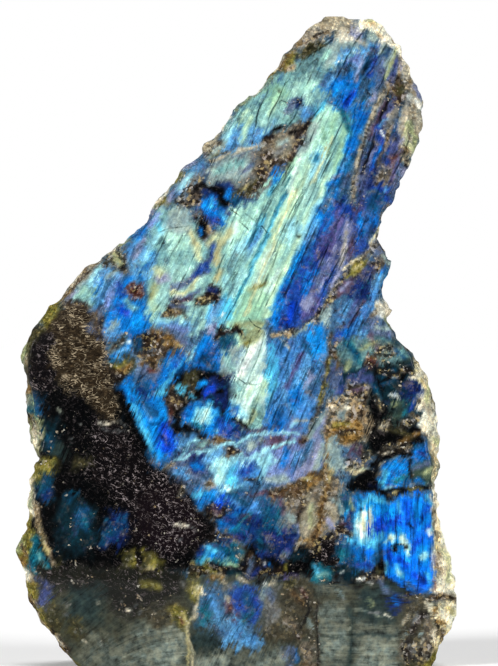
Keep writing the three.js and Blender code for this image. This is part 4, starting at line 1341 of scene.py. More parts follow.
black|.8|.8|44 34.6,44.2 30.6
black|.7|.6|42.2 31,41.6 28.6
azure|1.2|0|44 57,44 60.4,46 63.2,50 63.8,54 62.4,53.2 58,50 55.4,46 54.8
bright|1.1|.9|47 61.6,51 61.4
turquoise|1.1|.8|49 57,52 58.6
cyan|1|.8|44.8 56.4,45.8 59.6
pale cyan|.8|.5|46 54.8,47.6 55
royal|.8|.4|46.6 55.8
mist|.7|.35|46.8 64,49 64.2
azure|1.2|0|53.6 65,54 69,58.6 69.4,59.4 65,57.4 61,55 61.6
petrol|1.1|.7|54.4 67.6,57 68
royal|1|.7|55.6 65.6,57 65
mire|1.6|0|53.2 55.8,53.6 61,58 63.6,61.6 61,61 56
sage|1|.8|58 59,60 60.6
slate|1.2|.7|54.6 60.6,58.6 62
azure|1|.6|54.4 57,57 56.6
speckle|1|.8|43.6 65,48 66.2,53 66
black|.8|.5|53.4 63.6,53 60.6,53.6 57
umber|.8|.6|53.8 58.6
black|1.2|0|33.6 55,36 58.4,41.6 59.6,44.4 57,44.4 53.4,41 54,36 52
navy|1.2|.7|41.6 56,43 55.4
deep sea|1.5|0|31 49,32 55,36 54,36.6 49,34 45
petrol|1.2|.8|36.6 53,38 51
mist|1|.5|32.4 47,31.6 51
sage|.8|.4|35.6 47.6,35.2 51
cyan|.9|.5|34 47.6,34.8 45.4
bright|.8|.4|33.4 47,33.6 44.6
wine|1|.6|32.4 44,35 43
navy|1.2|.7|35 47,34.6 42
umber|1.2|.8|32 42,35 40.6
black|.8|.6|42.6 54.6,47 52.4,50.6 53.6,55 54.2,60.6 55.4
black|1|.6|46.4 51.6,45 53.6
gold|.6|.35|48 53.2,49.4 53.8
tan|.6|.3|46.6 52.6
olive|.6|.3|52.6 54,56.6 54.2
black|.7|.6|41.6 61,44.6 64,50 65.4,53.6 65
greige|.6|.45|43.4 61,44.6 62.6
tan|.6|.5|43.2 58.6,44 59.4
bone|.6|.35|45 65.4,47 66
cornflower|1|.5|59.6 52.6,58.6 53.4
black|1.1|.9|44.4 28,48 25.2,52 22.8
petrol|1|.6|51.6 26,54.6 23.6
black|1.3|.8|42 56,43.4 63
black|.8|.5|45 53.8,51 54.4
cyan|1.3|.8|41.6 38,44.6 41
petrol|1.3|1|42.4 33,44 37
bright|1.3|1|56.6 43,59 46.6
"""

# Dark hairlines and seams: half width | points.
LINES = """
# top
.6|31 195.2,28.4 193.4,26 191.8,24 190.6,20 190,17.4 189.6
.3|29.6 192.6,26.4 190.6,23 188,20 185,18.6 183
.3|39.6 195.6,37.6 192.6,36 190,35.4 188.6
.25|34.6 188,32.4 183.6,30.4 179.8,28.4 176.2,26.6 172.6,24.6 170,23 167.6
.7|43.2 189.6,41 186,38.6 182,36.2 177.8,34.4 174.4,33 171
.3|47 192,45 188.4,43 185,40.6 181.4,38.4 178.2,36.6 175
.25|41.6 183,39.6 179.4,37.6 176,35.6 172
.2|49 189,47 184.6,45.2 180.6,43.4 176.4
.25|10 178,8.4 174.4,7 170,5.6 165,4 160.6
.2|15.6 180,13.4 175.6,11.4 171,10 167
.25|20.6 175,19.4 171.4,17.4 168,15.4 165.4
.4|20.8 173.2,20 171.6
.2|14 174,17 172.8,20.6 173.4
.2|26 186,23.6 182.4,21.6 178.6
# band
.25|20.6 161,18.4 157,16.6 153.4,14.8 150,12.4 146.4,9.6 141.6,6.4 135,3 128.4,-.4 122.4,-3.4 116
.25|17.6 152.8,14.4 148,11 142.4,8 137,5 131,2 124.6,-1 118.4
.2|11.4 146.6,8.4 140.6,5.4 134,3 128.6,1 123
.3|25.4 153.4,22.6 148,19.4 141.6,16 134.6,13.2 127.8,11 122,8.4 115.6,6 110
.2|20.6 146,18 141,15.4 135.6,12.8 129.6,10.4 124
.2|29.6 157,27 152,24.6 147.4,22 142
.2|34 168.6,31.6 165,29.6 161,27.8 157
.2|27.6 170.6,25 166,22.6 161
.2|14 120.6,11.6 115,9.4 110
.2|2 117,-.6 111,-3 106
.35|36.6 168,35 161,33.2 155.6,31 150.6,28.6 146
.5|17.6 135.2,18.9 136.2
.4|18.6 131.8,19.1 131.8
.2|3 138.6,5.4 137,8 135,9.4 133.2
.2|1.4 136,3.4 134.4,4.8 132.8
.2|-1 139.6,1.6 137.6
# azure stripe and violet
.25|26.6 142,24 137,21.4 131,18.6 125,16 119
.3|25 134.4,21.6 127.6,18.4 121,15.6 114.6,13.6 109
.25|33 127.5,29.4 120.4,25.6 112.4,22.6 106
.2|30 132.6,27.4 126.6,24.6 120,22 113.6
.2|36.4 133,34 127,31.4 121.6
.25|40 138,38.4 133.6,36.6 129.6
# right of the top
.35|44.6 174,42.4 169.6,40.6 165,39.4 160.6
.3|47 176,45.4 171,43.4 166,42 161,40.6 156
.3|50.4 160,48 155,45.6 150,43.6 145,42 140.6
.3|54 163,51.8 157.4,49.4 152,46.6 146.4
.25|39 158,37.4 152,35.4 146
# centre
.2|4.4 106.2,6 104.4,8 103.4,7 102.4
.25|9 101.6,7.6 97,5.6 92,3.4 86.6,1 80.4
.2|10.6 94,8.4 87.6,6 81,4 75.6
.2|4.6 100,2.6 95,.6 90
.2|9.4 87,6 86.2,3 86.6,0 88.6
.25|7 82,5.6 78,4 74.6
.35|17 98.6,15 93.4,12.9 88,11 82.6,9.6 78
.3|21.4 98,18.6 92,15.6 85.6,12.8 79,11 75
.25|25.4 98.6,22.6 91.6,19.6 84.6,17 78,15.6 74
.25|26.6 92.6,24 85.6,21.4 79,19.4 74
.2|13.6 99,11.6 93.6,10.4 89
.3|-9.4 104.6,-11.6 100,-13.6 96,-15.6 91.6,-17.4 88
.25|-12 99,-14.6 94.4,-17.6 90,-20.6 85.6
.2|-22.6 86,-25.6 81,-28 76
.2|-10.6 79.6,-12 76.6,-13 73.6
.2|-8 80,-9.4 76.4,-10.6 73
.25|-20.6 76,-22.6 72.4,-24.8 69
.2|24.4 75,21.6 69.6,19.2 64.4,17.4 59
.2|16 70,14 65,12 60
.2|10 66,8 61,6 56
.2|21 72,18.6 67,16.6 62
.2|8 57,4.6 51,3 47
.3|-7.4 104.2,-5 103,-2.4 103.4,0 102.4,2.4 103
# pale field at the left
.3|-20 114.6,-23 111.4,-26 107.4
.25|-20.6 133.4,-23 129,-25.2 124.6,-27 120.4
.25|-16.4 132,-18.8 127.6,-21 123,-23 118.6
.2|-12.4 126,-15 121,-17.6 116,-19.6 112
.2|-23.4 133,-20 134.2,-16 134.6
.2|-1 131,-3.4 126,-5.6 121,-7.6 116
.2|1.6 131.6,-.6 127,-2.8 122
# right middle
.4|43.4 113,41 109,38.8 105,37 101
.3|34.6 111,32.4 107,30 103
.25|38.6 110.6,36.4 106.6,34.4 102.6
.25|46.6 121,44.6 116.6,42.6 112
# lower right block
.2|48.8 47,48.6 42,48.8 37
.2|53.4 50,53 44,53.2 38
.2|44.6 51,44.4 46,44.6 41
.2|56.8 49,56.6 43,56.8 37,56.6 31
.2|40.8 52,40.2 46,40 40
.2|51.4 34,51.2 29,51.6 25
.2|55.6 33,55.8 28,55.4 24
# seams of the lower facet
.18|24.8 20,25 12,25.1 4,24.6 -2
"""

# Marks of the lower facet, painted over the others. The pale grey veil of its lower part and the pale
# arcs across it are a painted reflection over the darker stone.
FACET = """
shade|1.6|0|-70 29,-50 29.5,-30 28.6,-14 27.6,0 27.6,12 27.2,24 26.6,36 25.6,44 25,50 23,53 21,60 21.6,
72 20,72 -6,-70 -6
soot|3|0|-62 24,-60 31,-16 30,-15 23,-22 19,-32 15,-40 21,-48 23
gloom|3|0|-52 14,-50 25,-41 25,-40 14
haze|4|0|-50 -4,-46 9,-36 9,-30 13,-20 17,-15.6 12,-16 -4
smoke|4|0|-26 -4,-25 5,-20 10,-15.6 10.6,-15.6 -4
loam|3|0|-30 16,-24 20,-16 19,-16 14,-24 12
dusk|2|0|-61 19,-60.6 26.6,-57 26,-56.6 19
moss|2|0|-59 10,-59 17,-55 22,-53.6 16,-53 9
umber|1.6|.9|-62 22,-60.6 14,-55 8
moss|2|0|-51 9,-51 15,-47 14,-47 9
smoke|1|.3|-34 1,-27 3.6,-21 7,-16 10.4
smoke|1|.25|-30 10,-24 11.4,-17 12
smoke|.9|.2|-38 3,-30 4.4,-24 7
smoke|.9|.25|-27 -1,-21 3,-16 6
smoke|.8|.2|-22 -1,-18 2,-15.8 4
haze|1.2|.6|-44 10,-38 5
bone|.5|.35|-41.8 20
bone|.6|.4|-32.8 17.8,-32 17.6
ash|.5|.3|-34.6 20.4
ash|.5|.3|-30.6 19
ash|.5|.3|-29 16.8
bone|.6|.3|-46.4 8.4,-45.6 8
bone|.5|.3|-40.8 7.4
bone|.5|.3|-54 10
ash|.5|.3|-48.6 10.6
ash|.6|.3|-52.6 16.6,-51 16.2
ash|.6|.3|-52 19,-50.6 19.6
ash|.7|.3|-17 26.6,-15.6 24.6,-15.4 25.8
gloom|2|0|-13 5.6,-12.6 12,-8 11,-4 7.6,-5 5.6
haze|2|0|-12.6 -4,-12.6 4.4,-4 6,6 5.4,14 7,17 -4
smoke|2.5|1.8|-10.6 1.2,-4 2.4
smoke|2|1.2|8 1,14 3.4
steel|2|0|-12.4 20,-11.6 25.6,-6 27,-3 24.6,0 26.4,4 26.4,8 23.4,7.6 17,5 12,8 9.4,8 7.4,2 7,-3 7.4,
-7 10.6,-11 13.6,-12.4 17
turquoise|1.8|0|-11 13.6,-11 21,-7.6 21,-7 14
sky|2|0|-3 7.6,-2 14,2 15,4 11,8 8.8,2 7
sky|1.6|1|-7 22,-5.6 17,-5 13
sky|1.4|.8|3 8.4,7 8
royal|2|0|-1.6 21.6,0 25.6,4 25.6,7.6 22,7 17,4.6 14.6,1.6 15.6,1 19
petrol|1.4|1|3 22.6,4.6 18
wine|1.8|0|-4 16,-3 21.6,-.4 21,.6 17,-1 15
rust|1|.5|-1.8 17.4,-1.4 18.6
greige|1|.5|-3 22,-2 20.4
turquoise|1.2|.6|2 14,4.6 17.6
ash|2.2|0|7.6 11,8 25,13 25.6,13.6 14,11 9.6
slate|1.8|.9|9.4 24,11.6 21.6
mist|1.2|.5|8 21,8.8 25.4
loam|2|0|8 7.6,10 14,14 15,14 8
black|.8|.5|6.6 26.4,7.4 25.2
white|.5|.4|8.2 25.6
greige|.9|.5|10.4 25.6,11.6 26.6
loam|2.2|0|13 9,13.6 22,17 27,22 27,25 25,24.6 18,24 10,19 8
moss|1.6|0|14 24,14.6 27.6,18 27.6,17 24
brown|1.4|.9|17.6 23,20.4 19.6
taupe|1.3|1|15.6 14.6,18.4 12.6
umber|1|.6|18 10.6,19.6 9.2
bark|1.2|.8|56.2 21,57.4 17.6
white|.6|.45|51.4 10.4,52 9.6
rust|.9|.5|20 24,21.4 21.6
mist|.9|.5|22.4 14.6,22.8 12.4
black|.9|.35|21.6 20,22.4 16.6,20.6 13.6,19.6 12.4
taupe|1.8|0|19.4 -4,19.4 7,23.4 9,24 -4
brown|1|.5|20 .6,23.6 .8
azure|.9|.5|17.8 5.4,18.1 1.8
sky|.8|.3|17.6 4,18 2.4
slate|1.4|0|13.6 5,15.6 7.6,17.4 6,17.2 -2,16 -2,15.6 3
haze|1.6|0|25 -4,25 20,34 20,35 -4
haze|2.4|0|35.4 -4,35.4 16,42 15,49.6 13,49.6 -4
smoke|2.4|0|26 3.6,26.4 12,33.6 12,34 4
smoke|2.4|0|36.6 -4,36.6 5,40 8,49 8,49.6 -4
gloom|2.2|0|36 14,37 24,46 24,49 18,46 13
haze|1.6|1|26 24.4,33 23.6
smoke|.8|.22|26 17.6,33 17.4
smoke|.8|.22|36 18,41 16.6,44 15.6
smoke|.9|.25|35.8 5.6,40 6.4,47 6
smoke|.8|.2|27 14.8,34 15
gloom|1|.3|25.4 9.6,34 9.2
gloom|1|.3|36 10,44 10.2,49 9.4
bark|.8|.3|24.8 20,25 12,25 4,24.6 -2
gloom|1.2|.5|35 18,35.2 12,34.8 4,34.8 -2
mist|.6|.25|30.6 24,31.8 22.8,33 21
ash|.5|.3|32.6 20.8
ash|.5|.3|37.6 21.4
sage|1|.35|40.6 20.6,41.4 18.8
slate|1.3|.9|44 26.4,45.8 23.4
navy|1.4|0|46 20.6,47.6 24.6,50 23,53.6 19.6,52 17,48.6 17.6
azure|1.1|.6|48 21.6,49.6 20
bone|.7|.3|45.6 16.4,47 15.4
ash|.7|.4|40.6 16.6,43.6 17
tan|.7|.35|41.6 28,44 27.2,46 26.6
tan|.7|.4|46.6 25.6,49.4 24.4
bark|.9|.4|44.6 27.6,49.6 24.6,52.6 21.6,57 22.2
rock|2|0|50.2 -2,50.4 9,56 9,61 14,60 2,58 -2
loam|2|0|50.6 8,50.6 19,56 23,60 22.6,61.6 14,60 8
moss|1.6|1.4|51 0,58 1
bark|1.2|.8|54 11,54.6 14,57.6 16.6
bark|1|.5|51.6 8,53.6 2.6
bark|1|.5|58.6 9.6,59 6
mist|.6|.5|52 10.4
mist|.6|.5|56.2 10.2
bone|.6|.45|56.6 8.4
greige|.8|.7|58 19.6,59.6 19
greige|.7|.5|52.4 15.4,51 13.4
ash|.8|.6|54 14,55.6 16.4
ash|.7|.5|52.6 6.6,54 5
bone|.5|.35|54.4 7
ash|.7|.5|57.6 13,58.4 15.4
tan|.8|.5|57.4 5,58 7
olive|1.4|0|-21 18.6,-15.6 18.2,-13.8 14,-15 11.6,-18 13.6
gold|.9|.5|-16.6 16.8,-14.8 13.4
rust|.8|.35|-17 15,-16 13.6
olive|1.2|0|-14.6 22,-13.4 26,-11 27,-9.8 24.6,-11.4 21.6
gold|.8|.6|-12.8 25,-11.6 22.8
bone|.8|.5|-11 24.6,-9.8 22.8
sand|.55|.3|-11.6 22.4,-12 19,-13 16,-14.2 14,-14.6 11,-14 8,-13.2 5,-13.3 -2
gold|.55|.25|-14.8 12.4,-14.7 8,-14 5,-14.5 2,-14.6 -2
greige|1|.7|-12 19.6,-12.6 16.6
greige|.7|.4|-4.6 26.6,-3 25.8
ash|1.2|.8|-3.6 24.2,-1.6 24.8
ochre|1.1|.6|-8 27.6,-4 27.6
greige|1|.6|1 27.2,3.6 26.6
gloom|1.3|.9|45.6 26.4,50.4 23.4
taupe|1.3|.9|57.6 6,58.6 14
olive|1.6|1|-28 26,-23.6 25
"""

# Marks painted over the crust of the rim.
RIM_MARKS = """
bone|.9|.5|-41 126.6,-38 128
sage|.9|.5|-36 129,-33 131
lavender|.9|.5|-31 133,-27.4 137
bone|.9|.5|-26.6 139.6,-24 143,-21 146.6
gold|.9|.5|-20 147.6,-17.4 151
lavender|.9|.5|-16 152,-12.6 155
greige|1|.8|-10.6 158,-9 161,-5 163.6
bone|.9|.5|-4 164.6,-1.4 168.6
sage|.9|.5|0 171.6,4 174.4
bone|.9|.5|5.6 176,9.6 179.4
greige|.9|.7|12 183,15 187.6
greige|1.3|0|52.4 180,55 178,57.6 174,58 166,57 160,55 156,52.6 157,54.4 164,55 172,53.4 176
lavender|1|.8|54.6 178,56.6 175
white|.9|.7|55.4 173.6,56.6 171.6
sage|1.2|1|53.4 167,55.4 163,55 158.6
straw|.9|.6|52.6 161,54.4 158.6
black|.6|.6|53 155.6,52 153.6
lavender|1|.7|50.6 153,52.6 150
slate|1.1|.8|49.6 148.6,48 145
greige|.8|.4|51.6 156.6,53.4 154
taupe|.9|.6|46.6 141.6,45 137
mist|1|.6|45.4 125.6,47.6 123
umber|1|.6|46 128,44.6 131.6
bone|1.1|0|43.6 108,44.4 111.6,47 111,48.6 109,46.4 106.8
sage|.9|.6|46 106.6,48.4 103.6
umber|1|.6|50 100.6,53 97.6
cap|1.4|0|16 190,19 193.6,24 198,27 201,33 201,37 200,37 196,33 194.4,30 194.8,28 193.5,25 191.5,
22 190.4,18 189.5
umber|.8|.4|18 190.6,22 192,26 194.2,28.6 196
greige|1.2|.8|22 196,27 199,32 199.6
greige|1.4|0|27 197,30 202,36 202,35.6 195.6,31 195.2
bone|1.2|0|30 192.6,31 195.8,35.6 195.6,36.6 192.6,33 191.8
lavender|1.2|0|36 192.6,36 197.6,39.4 197,39.6 193.6
cream|1.2|0|37 196,38.4 200,44 200.6,46 198,45 194.6,41 195
straw|.8|.8|41 198.8,43.2 198
apricot|.8|.6|41 197.6,42.6 197.5
mist|1.2|0|40 192,41 195.6,44 195.6,44.4 192
apricot|1|.6|44 194.8,45.2 193.2
bone|1.2|0|45 191,45.6 196.4,49 194.4,50 191,47.6 189.6
bone|1|.9|50 190.6,52.4 186.6
greige|1|0|51.6 180.6,51.8 187.6,54.6 187,55 181
cream|.7|.5|53.6 185.6,54 182
taupe|1.4|0|-58 111,-53 117,-48 121.6,-42 126,-41 124,-46 119.6,-50 115,-53 111
umber|1|.7|-52 115,-46.6 121
greige|1|.6|-53 115.4,-47.6 120.6
greige|1|.6|-45 122.6,-41.6 126
olive|1.4|0|-60 104,-58.6 112,-55.4 113.6,-54 110,-55 107,-57.6 103.6
olive|1|.8|-57.6 109.6,-55.6 112
moss|1.2|.8|-62.6 99,-60 103.6
moss|1.2|1|-64 96,-62.4 100,-59 104
sage|1.2|1|-65.6 90,-65.6 95,-64 98
greige|.9|.5|-64.6 92.6,-64 95
tan|1.2|1.1|-64.6 84,-65 88
ochre|.9|.6|-63.6 85.4,-63.6 83.6
sage|1|.8|-63.4 82,-62.6 80
sage|1.4|0|-66 82,-63.4 82,-61.6 77,-60.4 75.6,-58.4 72,-60 67,-61.6 63.6,-64 68,-66 78
greige|1|0|-63 70,-62.6 75.6,-59.6 73,-60 68.6,-61 66
cream|.9|.7|-61.2 69.4,-60.6 67.6
umber|1|.6|-63.6 77,-62 73
olive|1.2|0|-63.4 56,-63 63,-60.6 62.6,-60.4 56
bone|1.2|0|-66 46,-65 58,-62 58,-61.8 50,-60.8 45.6,-61.4 43,-65 41
olive|1|.7|-64.4 44,-63 40.6
bone|1|.8|-63.6 57,-63.4 50
sage|.9|.4|-62.6 55,-62.4 49
tan|.8|.5|-61.4 48,-60.4 43,-59.4 40
olive|1.4|0|-69 32,-67 41,-64.6 42,-62.8 38,-62.6 33,-64.6 30
sage|1|.8|-67 35.6,-65.4 38.4
ochre|1|.9|-66 32.6,-64.6 31
umber|1|.6|-65.6 37,-64 33.6
bone|1.1|1.4|-65 28.8,-63 27.4
olive|1.2|0|-65 24,-63.6 26.4,-61.6 25.6,-60.8 21,-63 19
umber|1.4|1.4|-63.4 20,-60 14.6,-56.4 10,-52 5
olive|1.3|.8|-60.6 18,-57.6 12
greige|.9|.5|-61.4 15.6,-58 11.6
bone|.7|.4|-55 9,-53 6.6
olive|1.2|.8|-52 3,-48.6 0
bone|1.6|0|55 94.6,57 92,58.6 89,60 84,62.6 74,63 66,62 62,60 64,59.6 70,57 72,56.6 78,57.6 84,56.6 88.6
sand|1.1|.8|57.4 88,59.6 83
cream|1.2|0|57 72.4,57.4 77.6,60 79.4,62 76,61.4 71.6
greige|1|.7|58.6 80,60 77.6
straw|1|.8|58.8 81,59.6 86
straw|1|.8|60.4 70,62 68.4
sand|1|.6|60.6 68,61 62,61 57
cream|1.3|0|60 56,62.6 57,62.6 48,66 34,68.6 22,65 20,61 22,60.6 30,60.4 40,60.4 50
bone|1|.8|61 52,61.4 44,62.6 36
straw|1|.8|63.4 36,65.4 26
tan|1|.6|61.4 41,62 36,61.6 30
gold|.9|.5|61.4 38.4,61.8 36.8
lavender|1|.5|60.8 34,60.8 31.6
greige|1.2|1|61.6 28,63.6 30
rust|.8|.3|60.4 26.6,61.2 23.6
cream|1|.8|62.6 26,66.4 23
umber|1.2|.9|60 21.8,63.6 21.6,66.6 20.6
ash|.9|.5|61.6 20.6,63 20.8
sand|1.5|0|59.4 4,60 19,64 20.4,68.6 19,68 12,64 8,61 4
cream|1.2|0|62 15,63 19.6,67 19,68 13.6,65 11.6
cream|.9|.7|59.8 18.6,60.8 15.6
gold|1.1|.9|64.6 18,66 16.4
ochre|.9|.8|61.4 13.8,62.8 13.4
ochre|.9|.5|60.8 16.4,61 18.4
umber|1|.7|62.6 11,63.4 8.6
bone|.9|.7|60 11,60.6 8
olive|1.2|1.2|61.6 4,59.4 1,57 -1
black|.7|.3|60.4 14.6,61 12,61.6 9.4
deep sea|1.4|0|-66 84,-63.6 84,-61.8 78,-60.4 76.4,-62.6 76.4,-64.6 80
greige|1|.7|-64.6 84.6,-63.6 80
turquoise|1.2|0|-63.4 30,-62.4 40,-60.4 40,-60 30
olive|1.2|.9|-63.6 46,-62.4 40
sky|.9|.6|-33.4 131.6,-29 135.6
bone|.8|.6|-50.6 118.6,-47.6 121.6
lavender|1|.6|-28.6 137,-26 140
black|.8|0|-62.6 42,-62.4 46.4,-61.4 46.2,-60.8 42.6
cream|1.1|0|60.8 40,61 51,65 51,66.6 40,65 34
sand|.9|.6|61.4 48,61.6 41,62.4 36
"""

# ---- Painting ------------------------------------------------------------------------


def points_of(text):
    """The points of a path; a single one, a spot, is given twice."""
    points = np.array([[float(number) for number in pair.split()] for pair in text.split(",")])
    return points if len(points) > 1 else np.vstack([points, points + 0.01])


def lines_of(drawing):
    """Each line of a drawing that isn't a comment, split into its parts. A line that
    ends with a comma goes on in the next."""
    for line in drawing.replace(",\n", ",").strip().splitlines():
        if not line.startswith("#"):
            yield line.split("|")


def marks_of(drawing):
    """Each line of a drawing: paint, softness of the edge, half width, points."""
    for name, soft, width, path in lines_of(drawing):
        yield np.array(PAINTS[name], float), float(soft), float(width), points_of(path)


def path_distance(x, z, path):
    """Distance to an open path: the least over its pieces, each measured from the
    nearest point a + t (b - a), t kept between 0 and 1."""
    nearest = np.full(x.shape, np.inf)
    for (ax, az), (bx, bz) in zip(path[:-1], path[1:]):
        run_x, run_z = bx - ax, bz - az
        t = np.clip(((x - ax) * run_x + (z - az) * run_z) / (run_x ** 2 + run_z ** 2), 0, 1)
        nearest = np.minimum(nearest, np.hypot(x - ax - t * run_x, z - az - t * run_z))
    return nearest


def patch_distance(x, z, corners):
    """Distance to the edge of a closed patch, negative inside: a point is inside where
    a line from it to the right crosses the edge an odd number of times."""
    loop = np.vstack([corners, corners[:1]])
    inside = np.zeros(x.shape, bool)
    for (ax, az), (bx, bz) in zip(loop[:-1], loop[1:]):
        if az != bz:
            inside ^= ((az > z) != (bz > z)) & (x < (bx - ax) * (z - az) / (bz - az) + ax)
    return np.where(inside, -1, 1) * path_distance(x, z, loop)


def sheet_noise(u, v, salt):
    """The lumps noise on a flat sheet, -1 to 1."""
    return 2 * lumps(np.stack([u, v, np.zeros_like(u)], 1), 1, salt) - 1


def lamella_place(x, z):
    """Place across and along the lamellae, in millimetres, from a pivot in the lower
    right block. Their slant turns from SLANT to STAND towards it, and wanders by a
    millimetre or so. On the lower facet they lie level at the right, and at the left
    they fan down in arcs."""
    places = []
    right, rise = x - PIVOT[0], z - PIVOT[1]
    for angle in np.radians([SLANT, STAND]):
        places.append((right * np.sin(angle) - rise * np.cos(angle),
                       right * np.cos(angle) + rise * np.sin(angle)))
    standing = step(*STAND_ACROSS, x) * step(*STAND_UP, z)
    across, along = (mix(low, high, standing) for low, high in zip(*places))
    across += 0.9 * sheet_noise(across / 14, along / 60, 21)
    level = np.maximum(step(*LEVEL_LEFT, x), step(*LEVEL_RIGHT, x)) * step(*LEVEL_UP, z)
    arc = z + np.maximum(0, ARC_FROM - x) ** 2 / 80 + 0.6 * sheet_noise(x / 16, z / 6, 23)
    return mix(across, arc, level), mix(along, x, level)


def near_marks(drawing, x, z, shift):
    """For each mark, the places near it and how far it covers them, 0 to 1. Its edge is
    frayed along the lamellae by noise that is long that way and short across, and
    wobbles by smaller noise both ways, and streaky and grainy paints cover unevenly;
    shift moves all of it, for a second reading."""
    across, along = lamella_place(x, z)
    fray = 1.1 * sheet_noise(across / 1.2, along / 9 + shift, 1)
    fray += 0.5 * sheet_noise(across / 0.6, along / 5 + shift, 2) + 1.2 * shift
    turn = np.radians(SLANT)
    wobble = [0.8 * sheet_noise(x / 4, z / 4 + 9 * shift, salt)
              + 0.6 * sheet_noise(x / 1.8, z / 1.8 + 9 * shift, salt + 1)
              + 0.3 * sheet_noise(x / 0.9, z / 0.9, salt + 2) for salt in (3, 6)]
    streaky = sheet_noise(across / 1.1, along / 5 + 7 * shift, 11)
    grainy = sheet_noise(x / 1.4 + 7 * shift, z / 1.4, 12)
    for paint, soft, width, path in marks_of(drawing):
        streak = paint[3] * (1 if width == 0 else 0.25)
        amount = min(1.8, 0.5 + soft / 1.5) if width == 0 else 0.7
        place_x = x + amount * wobble[0] + streak * fray * np.cos(turn)
        place_z = z + amount * wobble[1] + streak * fray * np.sin(turn)
        margin = width + 2 * soft + 4.5
        low, high = path.min(0) - margin, path.max(0) + margin
        near = np.flatnonzero((x > low[0]) & (x < high[0]) & (z > low[1]) & (z < high[1]))
        place = (place_x[near], place_z[near], path)
        distance = patch_distance(*place) if width == 0 else path_distance(*place) - width
        spread = 1.5 * soft if width == 0 else max(1.4 * soft, 0.9)
        loose = paint[3] * (0.35 * streaky[near] + 0.4 * grainy[near]) + 0.9 * paint[4] * grainy[near]
        cover = ease(np.clip(0.5 - distance / spread, 0, 1)) * np.clip(1.1 + loose, 0, 1)
        yield paint, width, near, cover


def paint_stone(x, z, edge, shift):
    """Reads the drawing at places on the front; edge is 1 on the rough rim, which is
    crust unless a rim mark covers it. Returns the paint and how rough each place is."""
    paint = np.tile(np.array(PAINTS["steel"], float), (len(x), 1))
    for drawing in (MARKS, FACET):
        for colour, _, near, cover in near_marks(drawing, x, z, shift):
            paint[near] += cover[:, None] * (colour - paint[near])
    crusted = edge * np.clip(0.6 + 0.5 * sheet_noise(x / 5, z / 5, 41), 0, 1)
    crusted *= mix(1, THIN_CRUST, step(*CRUST_THINS, z))
    paint += crusted[:, None] * (np.array(PAINTS["crust"], float) - paint)
    rough = edge.copy()
    for colour, _, near, cover in near_marks(RIM_MARKS, x, z, shift):
        paint[near] += cover[:, None] * (colour - paint[near])
        rough[near] = np.maximum(rough[near], cover)
    return paint, rough


def draw_lines(x, z):
    """The drawn cracks as two numbers for each place: how near a crack is, 0 to 1, and
    the distance from its middle in half widths, below zero on its other side. Between
    vertices the second passes zero on the crack, so that it can be thinner than the mesh."""
    gap = np.full(len(x), 9.0)
    side = np.full(len(x), 9.0)
    moved_x = x + 0.35 * sheet_noise(x / 5, z / 5, 61)
    moved_z = z + 0.35 * sheet_noise(x / 5, z / 5, 62)
    for width, path in lines_of(LINES):
        width, path = float(width), points_of(path)
        low, high = path.min(0) - 2.5, path.max(0) + 2.5
        near = np.flatnonzero((x > low[0]) & (x < high[0]) & (z > low[1]) & (z < high[1]))
        place_x, place_z = moved_x[near], moved_z[near]
        for (ax, az), (bx, bz) in zip(path[:-1], path[1:]):
            distance = path_distance(place_x, place_z, [(ax, az), (bx, bz)])
            turn = (place_x - ax) * (bz - az) - (place_z - az) * (bx - ax)
            closer = distance < gap[near]
            gap[near[closer]] = distance[closer]
            side[near[closer]] = (np.where(turn > 0, 1, -1) * distance / width)[closer]
    return step(1.7, 1.0, gap), np.clip(side, -9, 9)


def linear(colour):
    """Screen colours, 0 to 255, as linear light."""
    value = np.clip(colour / 255, 0, 1)
    return np.where(value <= 0.04045, value / 12.92, ((value + 0.055) / 1.055) ** 2.4)


# ---- Material ------------------------------------------------------------------------


class Value:
    """A shader node's output. Arithmetic on it adds Math nodes."""

    def __init__(self, finish, socket):
        self.finish, self.socket = finish, socket

    def __add__(self, other):
        return self.finish.maths("ADD", self, other)

    def __radd__(self, other):
        return self.finish.maths("ADD", other, self)

    def __sub__(self, other):
        return self.finish.maths("SUBTRACT", self, other)

    def __rsub__(self, other):
        return self.finish.maths("SUBTRACT", other, self)

    def __mul__(self, other):
        return self.finish.maths("MULTIPLY", self, other)

    def __rmul__(self, other):
        return self.finish.maths("MULTIPLY", other, self)


